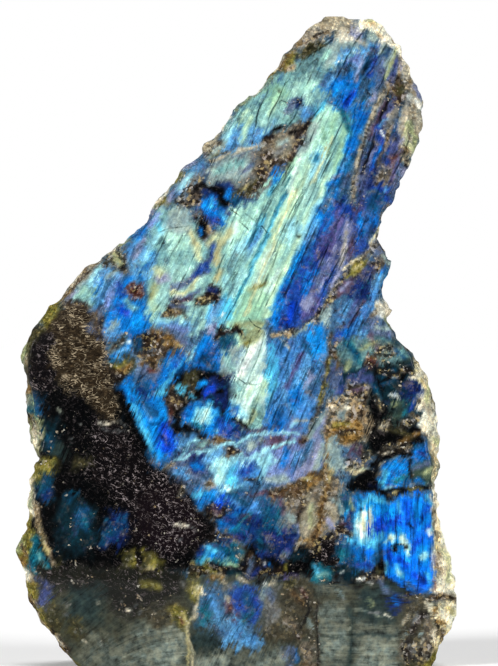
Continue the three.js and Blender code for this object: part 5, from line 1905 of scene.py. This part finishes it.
class Finish:
    """A material under construction."""

    def __init__(self, name):
        self.material = bpy.data.materials.new(name)
        self.material.use_nodes = True
        self.tree = self.material.node_tree
        self.tree.nodes.clear()

    def node(self, kind, settings=None, sockets=None, output=0):
        """A node of that type: its settings first, then the values or links of its
        sockets, by name or number. Returns one of its outputs."""
        made = self.tree.nodes.new("ShaderNode" + kind)
        for name, setting in (settings or {}).items():
            setattr(made, name, setting)
        for name, value in (sockets or {}).items():
            if isinstance(value, Value):
                self.tree.links.new(value.socket, made.inputs[name])
            else:
                made.inputs[name].default_value = value
        return Value(self, made.outputs[output]) if made.outputs else None

    def maths(self, operation, *operands):
        return self.node("Math", {"operation": operation}, dict(enumerate(operands)))

    def larger(self, a, b):
        return self.maths("MAXIMUM", a, b)

    def scaled(self, vector, *factors):
        """A vector times a number for each axis: cells per millimetre for a pattern."""
        return self.node("VectorMath", {"operation": "MULTIPLY"}, {0: vector, 1: factors})

    def blend(self, share, low, high, kind="MIX"):
        """Mixes two colours; on MULTIPLY the second darkens the first."""
        return self.node("Mix", {"data_type": "RGBA", "blend_type": kind},
                         {0: share, 6: low, 7: high}, output=2)

    def times(self, colour, factor):
        """A colour times a number or another colour."""
        return self.blend(1.0, colour, factor, "MULTIPLY")

    def noise(self, vector, detail=2.0, roughness=0.5, distortion=0.0, output=0):
        return self.node("TexNoise", {}, {"Vector": vector, "Scale": 1.0, "Detail": detail,
                                          "Roughness": roughness, "Distortion": distortion},
                         output)

    def between(self, value, start, end):
        """0 before start, 1 after end, eased; start above end turns it round."""
        if start > end:
            return 1 - self.between(value, end, start)
        return self.node("MapRange", {"interpolation_type": "SMOOTHSTEP"},
                         {0: value, 1: float(start), 2: float(end)})

    def crack(self, noise, width):
        """1 on the thin line where a noise passes its middle value."""
        return self.between(self.maths("ABSOLUTE", noise - 0.5), width, width * 0.3)

    def parts(self, colour):
        """The three numbers of a colour."""
        return [self.node("SeparateColor", {}, {0: colour}, k) for k in range(3)]

    def attribute(self, name, output="Color"):
        return self.node("Attribute", {"attribute_name": name}, {}, output)


def tone(*screen):
    """A screen colour as the linear colour of a socket."""
    return (*linear(np.array(screen, float)), 1.0)


class Labradorite(Finish):
    """The stone's finish. Each method lays one texture over a colour, by the share of it
    that the vertices carry. Patterns lie in the solid stone, or in its lamellae: across
    them, along them and deeper in."""

    def __init__(self):
        super().__init__("labradorite")
        self.place = self.scaled(self.node("TexCoord", {}, {}, "Object"), 1000.0, 1000.0, 1000.0)
        self.lamella = self.attribute("lamella", "Vector")
        self.streak, self.grain, self.flake = self.parts(self.attribute("textures"))
        self.curl, self.rough, self.rock = self.parts(self.attribute("surface"))
        self.murk, self.nearby, self.side = self.parts(self.attribute("darks"))
        # Noises that more than one texture reads.
        self.band = self.along((0.8, 0.03, 1.0))
        self.thread = self.along((2.6, 0.07, 1.0))
        self.soft = self.along((0.3, 0.14, 0.3), 4.0, 0.62)
        self.smear = self.along((0.4, 0.07, 0.6), 3.0, 0.6, 0.8)
        self.cloud = self.within(0.24, 5.0, 0.66)
        self.blotch = self.within(0.5, 4.0, 0.65)
        self.crinkle = self.within(0.8, 5.0, 0.68, 0.8)
        self.patchy = self.within(0.32, 3.0, 0.6)
        self.grit = self.within(1.1, 6.0, 0.75)
        self.fine = self.within(0.9, 4.0, 0.7)
        self.rind = self.within(1.3, 5.0, 0.7)
        self.relief = self.within((0.22, 0.22, 0.3), 5.0, 0.6, 0.5)

    def within(self, size, *shape, output=0):
        """A noise in the solid stone: cells per millimetre, for all axes or for each."""
        sizes = size if isinstance(size, tuple) else (size, size, size)
        return self.noise(self.scaled(self.place, *sizes), *shape, output=output)

    def along(self, sizes, *shape):
        """A noise in the lamellae: cells per millimetre across, along and deeper in."""
        return self.noise(self.scaled(self.lamella, *sizes), *shape)

    def drawing(self):
        """Two readings of the drawing, picked between in lamellae and in blotches."""
        pick = 0.35 * self.band + 0.35 * self.thread + 0.3 * self.blotch
        return self.blend(self.between(pick, 0.47, 0.53), self.attribute("seen"),
                          self.attribute("frayed"))

    def flash(self, colour):
        """Clouds in the flash, deep blue to pale, spots of other hues, and light and
        dark lamellae over them. The flash is the stone's labradorescence, a sheen that
        shifts with the view, painted here into the colour."""
        sheet = self.along((0.5, 0.022, 0.3), 4.0, 0.62)
        clear = self.between(self.murk, 0.4, 0.12)
        veil = 0.4 * self.soft + 0.6 * self.cloud + 0.5 * clear * (sheet - self.cloud)
        tint = self.blend(self.between(veil, 0.37, 0.63), (0.6, 0.7, 0.78, 1), (1.4, 1.32, 1.18, 1))
        colour = self.blend(self.streak, colour, self.times(colour, tint))
        hues = self.parts(self.within(0.34, 5.0, 0.7, 0.4, output=1))
        mixed = self.streak * self.between(self.murk, 0.1, 0.6)
        spots = [tone(84, 80, 136), tone(24, 104, 128), tone(132, 124, 112)]
        for hue, spot in zip(hues, spots):
            colour = self.blend(0.4 * mixed * self.between(hue, 0.54, 0.66), colour, spot)
        shade = 0.5 * (self.thread - 0.5) + (1.1 + 0.9 * clear) * (self.band - 0.5)
        shade = 1 + self.streak * (shade + (2.6 - 0.8 * clear) * (self.crinkle - 0.5))
        colour = self.times(colour, shade)
        smeared = self.streak * self.between(self.smear + 0.09 * self.murk, 0.6, 0.7)
        return self.blend(0.8 * smeared, colour, self.times(colour, (0.2, 0.3, 0.34, 1)))

    def dull_facet(self, colour):
        """Where a paint carries no texture: wisps along the lamellae and a mottle of
        brown and grey."""
        glass = self.larger(1 - self.streak - self.grain - self.flake - self.curl, 0)
        wisp = self.along((1.1, 0.06, 0.5), 4.0, 0.65)
        mottle = self.within(0.35, 5.0, 0.65)
        warmth = self.blend(self.between(mottle, 0.42, 0.58), (0.94, 1.01, 1.02, 1),
                            (1.07, 1.0, 0.89, 1))
        colour = self.blend(glass, colour, self.times(colour, warmth))
        shade = 2.0 * (wisp - 0.5) + 2.8 * (self.blotch - 0.5) + 2.2 * (mottle - 0.5)
        return self.times(colour, self.larger(1 + glass * shade, 0.25))

    def hairs(self, colour):
        """Thin straight cracks and pale threads along the lamellae, in patches, and a
        few cracks across them. Returns the colour and the cracks."""
        long_hair = self.crack(self.along((0.36, 0.004, 0.0), 0.0), 0.035)
        fine_hair = self.crack(self.along((0.9, 0.009, 0.0), 0.0), 0.045)
        pale_hair = self.crack(self.along((1.1, 0.012, 3.0), 0.0), 0.04)
        where = self.along((0.16, 0.04, 0.0))
        long_hair = long_hair * self.between(where, 0.46, 0.56) * 0.6
        fine_hair = fine_hair * self.between(where, 0.54, 0.44) * 0.35
        across = self.crack(self.within((0.07, 0.07, 0.35)), 0.006)
        across = 0.6 * across * self.between(self.within(0.09), 0.5, 0.6)
        hair = self.streak * self.larger(self.larger(long_hair, fine_hair), across)
        # Pale threads along the lamellae: painted highlight lines in the flash.
        pale_hair = self.streak * pale_hair * self.between(self.soft, 0.4, 0.6)
        colour = self.blend(pale_hair, colour, self.times(colour, (1.7, 1.6, 1.45, 1)))
        return self.blend(0.85 * hair, colour, self.times(colour, (0.07, 0.16, 0.24, 1))), hair

    def drawn_cracks(self, colour):
        """The cracks of the drawing, with a ragged edge. Returns the colour and them."""
        beside = self.maths("ABSOLUTE", self.side + 0.9 * (self.blotch - 0.5))
        drawn = self.nearby * self.between(beside, 1.5, 0.5)
        drawn = drawn * (0.3 + 0.7 * self.between(self.smear, 0.4, 0.6))
        return self.blend(0.8 * drawn, colour, self.times(colour, (0.06, 0.11, 0.12, 1))), drawn

    def mottling(self, colour):
        """Dark mottling, finer than the marks."""
        flecks = self.within((0.36, 0.36, 0.3), 6.0, 0.72)
        murky = self.between(flecks + 0.22 * self.murk, 0.68, 0.86)
        return self.blend(0.85 * murky, colour, tone(20, 15, 20))

    def matrix(self, colour):
        """Grains of light and dark, each its own brown, grey or green, with dark gaps,
        pale crystals and a few glitters. The cells are bent by a noise."""
        bent = self.node("VectorMath", {"operation": "MULTIPLY_ADD"}, {
            0: self.within(1.3, 2.0, output=1), 1: (1.4, 1.4, 1.4),
            2: self.scaled(self.place, 1.8, 1.8, 1.8)})
        lump, hue, _ = self.parts(self.node("TexVoronoi", {"feature": "SMOOTH_F1"}, {
            "Vector": bent, "Scale": 0.62, "Smoothness": 0.25}, 1))
        stain = self.blend(hue, (1.2, 1.0, 0.72, 1), (0.86, 1.0, 1.14, 1))
        colour = self.blend(self.grain, colour, self.times(colour, stain))
        uneven = 1 + self.grain * (4.0 * (self.grit - 0.5) + 1.9 * (lump - 0.5))
        colour = self.times(colour, self.larger(uneven, 0.08))
        hollow = self.grain * self.between(self.grit, 0.43, 0.34)
        colour = self.blend(hollow, colour, tone(20, 15, 14))
        granular = self.between(self.grain, 0.2, 0.8)
        gap = self.between(lump, 0.42, 0.26)
        colour = self.blend(0.75 * granular * gap, colour, tone(22, 18, 16))
        crystal = self.between(lump, 0.62, 0.76) * self.between(self.grit, 0.42, 0.56)
        pale = self.blend(self.between(hue, 0.4, 0.6), tone(186, 166, 112), tone(190, 182, 176))
        colour = self.blend(0.7 * granular * crystal, colour, pale)
        light, tint, _ = self.parts(self.node("TexVoronoi", {"feature": "F1"}, {
            "Vector": bent, "Scale": 1.0}, 1))
        # A few glitters: painted glints of light, each its own tone.
        glitter = self.between(light + 0.8 * self.patchy + 0.4 * self.blotch, 1.62, 1.68)
        glitter_tone = self.blend(tint, tone(150, 130, 100), tone(190, 186, 172))
        return self.blend(self.between(self.grain, 0.06, 0.2) * glitter, colour, glitter_tone)

    def flakes(self, colour):
        """Short curled ridges lying level on dark brown, with painted tan highlights on
        their crests. Returns the colour and their height."""
        ragged = self.within((0.8, 0.8, 1.4), 5.0, 0.7)
        ridge = self.crack(self.within((0.36, 0.36, 0.85), 1.0, 0.5, 1.3), 0.045)
        colour = self.blend(self.flake * self.between(ragged, 0.46, 0.36), colour, tone(14, 10, 7))
        colour = self.blend(0.6 * self.flake * self.between(ragged, 0.52, 0.66), colour,
                            tone(96, 80, 58))
        # Painted highlight along the crests of the ridges.
        colour = self.blend(self.flake * ridge * self.between(self.cloud, 0.4, 0.6), colour,
                            tone(172, 156, 128))
        return colour, ragged + 0.4 * ridge

    def glints(self, colour):
        """Curled glints on the black, in clusters, most of them slanting down to the
        right."""
        tilted = self.node("VectorRotate", {"rotation_type": "Y_AXIS"},
                           {"Vector": self.place, "Angle": np.radians(-25)})
        worms = self.noise(self.scaled(tilted, 0.3, 0.3, 0.7), 0.0, 0.5, 1.0)
        others = self.within(0.5, 0.0, 0.5, 1.2)
        strand = self.larger(self.crack(worms, 0.035), 0.7 * self.crack(others, 0.03))
        dense = 0.35 + 0.65 * self.between(self.within(0.12), 0.36, 0.6)
        strand = strand * self.between(self.crinkle, 0.47, 0.6) * dense
        colour = self.blend(0.7 * self.curl * self.between(self.crinkle, 0.5, 0.64), colour,
                            tone(38, 31, 30))
        return self.blend(0.85 * self.curl * strand, colour, tone(168, 156, 156))

    def broken_rock(self):
        """The broken sides and back: grey-green feldspar weathered tan on what stands
        out, with brown stains and dull blue flashes where their own noises are high, all
        of it with painted shade in the hollows and painted light on what stands out, and
        pale crystal faces."""
        crust = self.within(0.07, 5.0, 0.65)
        weathered = self.between(0.55 * crust + 0.45 * self.relief, 0.42, 0.6)
        colour = self.blend(weathered, tone(74, 78, 72), tone(140, 134, 118))
        stain = self.within((0.13, 0.13, 0.1), 5.0, 0.7)
        colour = self.blend(0.7 * self.between(stain, 0.52, 0.7), colour, tone(126, 98, 62))
        dull_blue = self.within((0.05, 0.05, 0.09), 4.0, 0.65, 0.6)
        colour = self.blend(0.6 * self.between(dull_blue, 0.56, 0.7), colour, tone(48, 92, 116))
        # Painted shade and light: darker in the hollows of the relief and lighter on what stands out,
        # with a finer random grain.
        shade = 1 + 1.6 * (self.fine - 0.5) + 3.0 * (self.relief - 0.5)
        colour = self.times(colour, self.larger(shade, 0.2))
        return self.blend(0.6 * self.between(self.fine, 0.58, 0.68), colour, tone(204, 196, 174))

    def rim(self, colour):
        """The worn rim: light and dark crystal grain, pale specks partly painted as sparkle, and brown
        stains.
        """
        rim = self.rough * (1 - self.rock)
        worn = 1 + (1.2 + 2.6 * self.grain) * (self.rind - 0.46)
        colour = self.blend(rim, colour, self.larger(worn, 0.1), "MULTIPLY")
        # Pale specks: lighter crystal grain, brightened further as painted sparkle.
        specks = rim * self.between(self.rind, 0.54, 0.64)
        colour = self.blend(specks, colour, self.times(colour, (1.7, 1.65, 1.5, 1)))
        stain = rim * self.between(self.grain, 0.1, 0.5)
        colour = self.blend(0.5 * stain * self.between(self.patchy, 0.54, 0.62), colour,
                            tone(142, 114, 60))
        return self.blend(0.8 * stain * self.between(self.fine, 0.4, 0.32), colour,
                          tone(54, 44, 34))

    def finished(self):
        colour = self.dull_facet(self.flash(self.drawing()))
        colour, hair = self.hairs(colour)
        colour, drawn = self.drawn_cracks(colour)
        colour, curled = self.flakes(self.matrix(self.mottling(colour)))
        colour = self.blend(self.rock, self.glints(colour), self.broken_rock())
        height = self.rough * (0.9 * self.fine + 0.4 * self.rind)
        height = height + self.rock * (5.0 * self.relief + 0.8 * self.fine)
        height = height - 0.06 * hair - 0.1 * drawn
        height = height + 0.1 * self.grain * self.grit + 0.12 * self.flake * curled
        bump = self.node("Bump", {}, {"Strength": 1.0, "Distance": 0.001, "Height": height})
        shader = self.node("BsdfPrincipled", {}, {
            "Base Color": self.rim(colour),
            "Roughness": 0.4 + 0.3 * self.rough,
            "Coat Weight": 0.2 - 0.2 * self.rough,
            "Coat Roughness": 0.15,
            "IOR": 1.5,
            "Specular IOR Level": 0.02,
            "Normal": bump,
        })
        self.node("OutputMaterial", {}, {"Surface": shader})
        return self.material


# ---- The piece -----------------------------------------------------------------------


def make_stone():
    """The piece: the closed block carried onto the stone and chipped, with the drawing
    read at every vertex."""
    places, quads, triangles = block()
    across, depth, up = places.T
    points = stone_points(across, depth, up)
    widest = stone_points(across, np.minimum(depth, RIM), up)

    # Chips cut along the normal, all over the broken part and more gently on the rim;
    # nothing moves off the ground or out of the solid's own box.
    deep = step(0, CHIPPED_FROM, depth) * mix(RIM_CHIPS, 1, step(RIM, 0.35, depth))
    low, high = points.min(0), points.max(0)
    out = point_normals(points, quads, triangles)
    moved = points - out * (chipped(points) * deep)[:, None]
    moved[:, 2] = mix(points[:, 2], moved[:, 2], step(0, 3, points[:, 2]))
    points = np.clip(moved, low, high)

    mesh = bpy.data.meshes.new("labradorite_stone")
    corners = np.concatenate([quads.ravel(), triangles.ravel()])
    sizes = np.concatenate([np.full(len(quads), 4), np.full(len(triangles), 3)])
    mesh.vertices.add(len(points))
    mesh.vertices.foreach_set("co", (points * 0.001).astype(np.float32).ravel())
    mesh.loops.add(len(corners))
    mesh.loops.foreach_set("vertex_index", corners.astype(np.int32))
    mesh.polygons.add(len(sizes))
    starts = np.cumsum(sizes) - sizes
    mesh.polygons.foreach_set("loop_start", starts.astype(np.int32))
    mesh.polygons.foreach_set("loop_total", sizes.astype(np.int32))
    mesh.update(calc_edges=True)
    mesh.validate()
    mesh.shade_smooth()

    # The drawing is read where a point is seen from the front. Past the widest outline
    # it is read at the outline and gives way to plain rock.
    x, z = widest[:, 0], widest[:, 2]
    edge = step(0, CRUST_FROM, depth)
    paint, rough = paint_stone(x, z, edge, 0)
    second, _ = paint_stone(x, z, edge, 1)
    rock = step(*ROCK, depth)
    across_lamellae, along_lamellae = lamella_place(x, z)

    def colour_layer(name, *channels):
        layer = mesh.attributes.new(name, "FLOAT_COLOR", "POINT")
        channels = np.stack([*channels, np.ones(len(x))], 1)
        layer.data.foreach_set("color", channels.astype(np.float32).ravel())

    colour_layer("seen", *linear(paint[:, :3]).T)
    colour_layer("frayed", *linear(second[:, :3]).T)
    colour_layer("textures", *paint[:, 3:6].T)
    colour_layer("surface", paint[:, 6], rough, rock)
    colour_layer("darks", paint[:, 7], *draw_lines(x, z))
    layer = mesh.attributes.new("lamella", "FLOAT_VECTOR", "POINT")
    vectors = np.stack([across_lamellae, along_lamellae, points[:, 1]], 1)
    layer.data.foreach_set("vector", vectors.astype(np.float32).ravel())

    stone = bpy.data.objects.new("labradorite_stone", mesh)
    bpy.context.scene.collection.objects.link(stone)
    mesh.materials.append(Labradorite().finished())
    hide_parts("stone")
    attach(stone, "root")


# ---- Studio --------------------------------------------------------------------------


def studio_floor():
    """A wide pale floor at height 0."""
    mesh = bpy.data.meshes.new("studio_floor")
    half = 30.0
    corners = [(-half, -half, 0), (half, -half, 0), (half, half, 0), (-half, half, 0)]
    mesh.from_pydata(corners, [], [(0, 1, 2, 3)])
    floor = bpy.data.objects.new("studio_floor", mesh)
    bpy.context.scene.collection.objects.link(floor)
    finish = Finish("pale paper")
    shader = finish.node("BsdfDiffuse", {}, {"Color": (0.92, 0.92, 0.92, 1.0)})
    finish.node("OutputMaterial", {}, {"Surface": shader})
    mesh.materials.append(finish.material)


def soft_light(name, way, power, spread):
    """A soft light from far away, shining from the direction of way."""
    light = bpy.data.lights.new(name, "SUN")
    light.energy, light.angle = power, np.radians(spread)
    lamp = bpy.data.objects.new(name, light)
    lamp.rotation_euler = Vector(way).to_track_quat("Z", "Y").to_euler()
    bpy.context.scene.collection.objects.link(lamp)


def studio():
    """The floor, three soft lights, white air and the camera."""
    studio_floor()
    soft_light("key", (-0.62, -0.62, 0.48), 2.2, 20)
    soft_light("fill", (0.70, -0.55, 0.45), 1.6, 30)
    soft_light("above", (0.1, 0.5, 0.85), 1.8, 30)

    # The air is white where the camera sees it, and dimmer as a light.
    world = bpy.data.worlds.new("studio")
    world.use_nodes = True
    tree = world.node_tree
    air = tree.nodes["Background"]
    path = tree.nodes.new("ShaderNodeLightPath")
    strength = tree.nodes.new("ShaderNodeMapRange")
    strength.inputs[3].default_value, strength.inputs[4].default_value = 0.05, 1.0
    tree.links.new(path.outputs["Is Camera Ray"], strength.inputs[0])
    tree.links.new(strength.outputs[0], air.inputs["Strength"])
    air.inputs["Color"].default_value = (1, 1, 1, 1)
    bpy.context.scene.world = world
    bpy.context.scene.view_settings.view_transform = "Standard"

    # The view takes in 204.3 mm of height a little behind the widest outline.
    distance, seen_height, plane = 1.6, 0.2043, -0.014
    camera = bpy.data.objects.new("camera", bpy.data.cameras.new("camera"))
    camera.data.sensor_width = 36
    camera.data.lens = 36 * distance / seen_height
    camera.location = (0.004, plane - distance, 0.1020)
    camera.rotation_euler = (np.pi / 2, 0, 0)
    bpy.context.scene.collection.objects.link(camera)
    bpy.context.scene.camera = camera


make_stone()
studio()
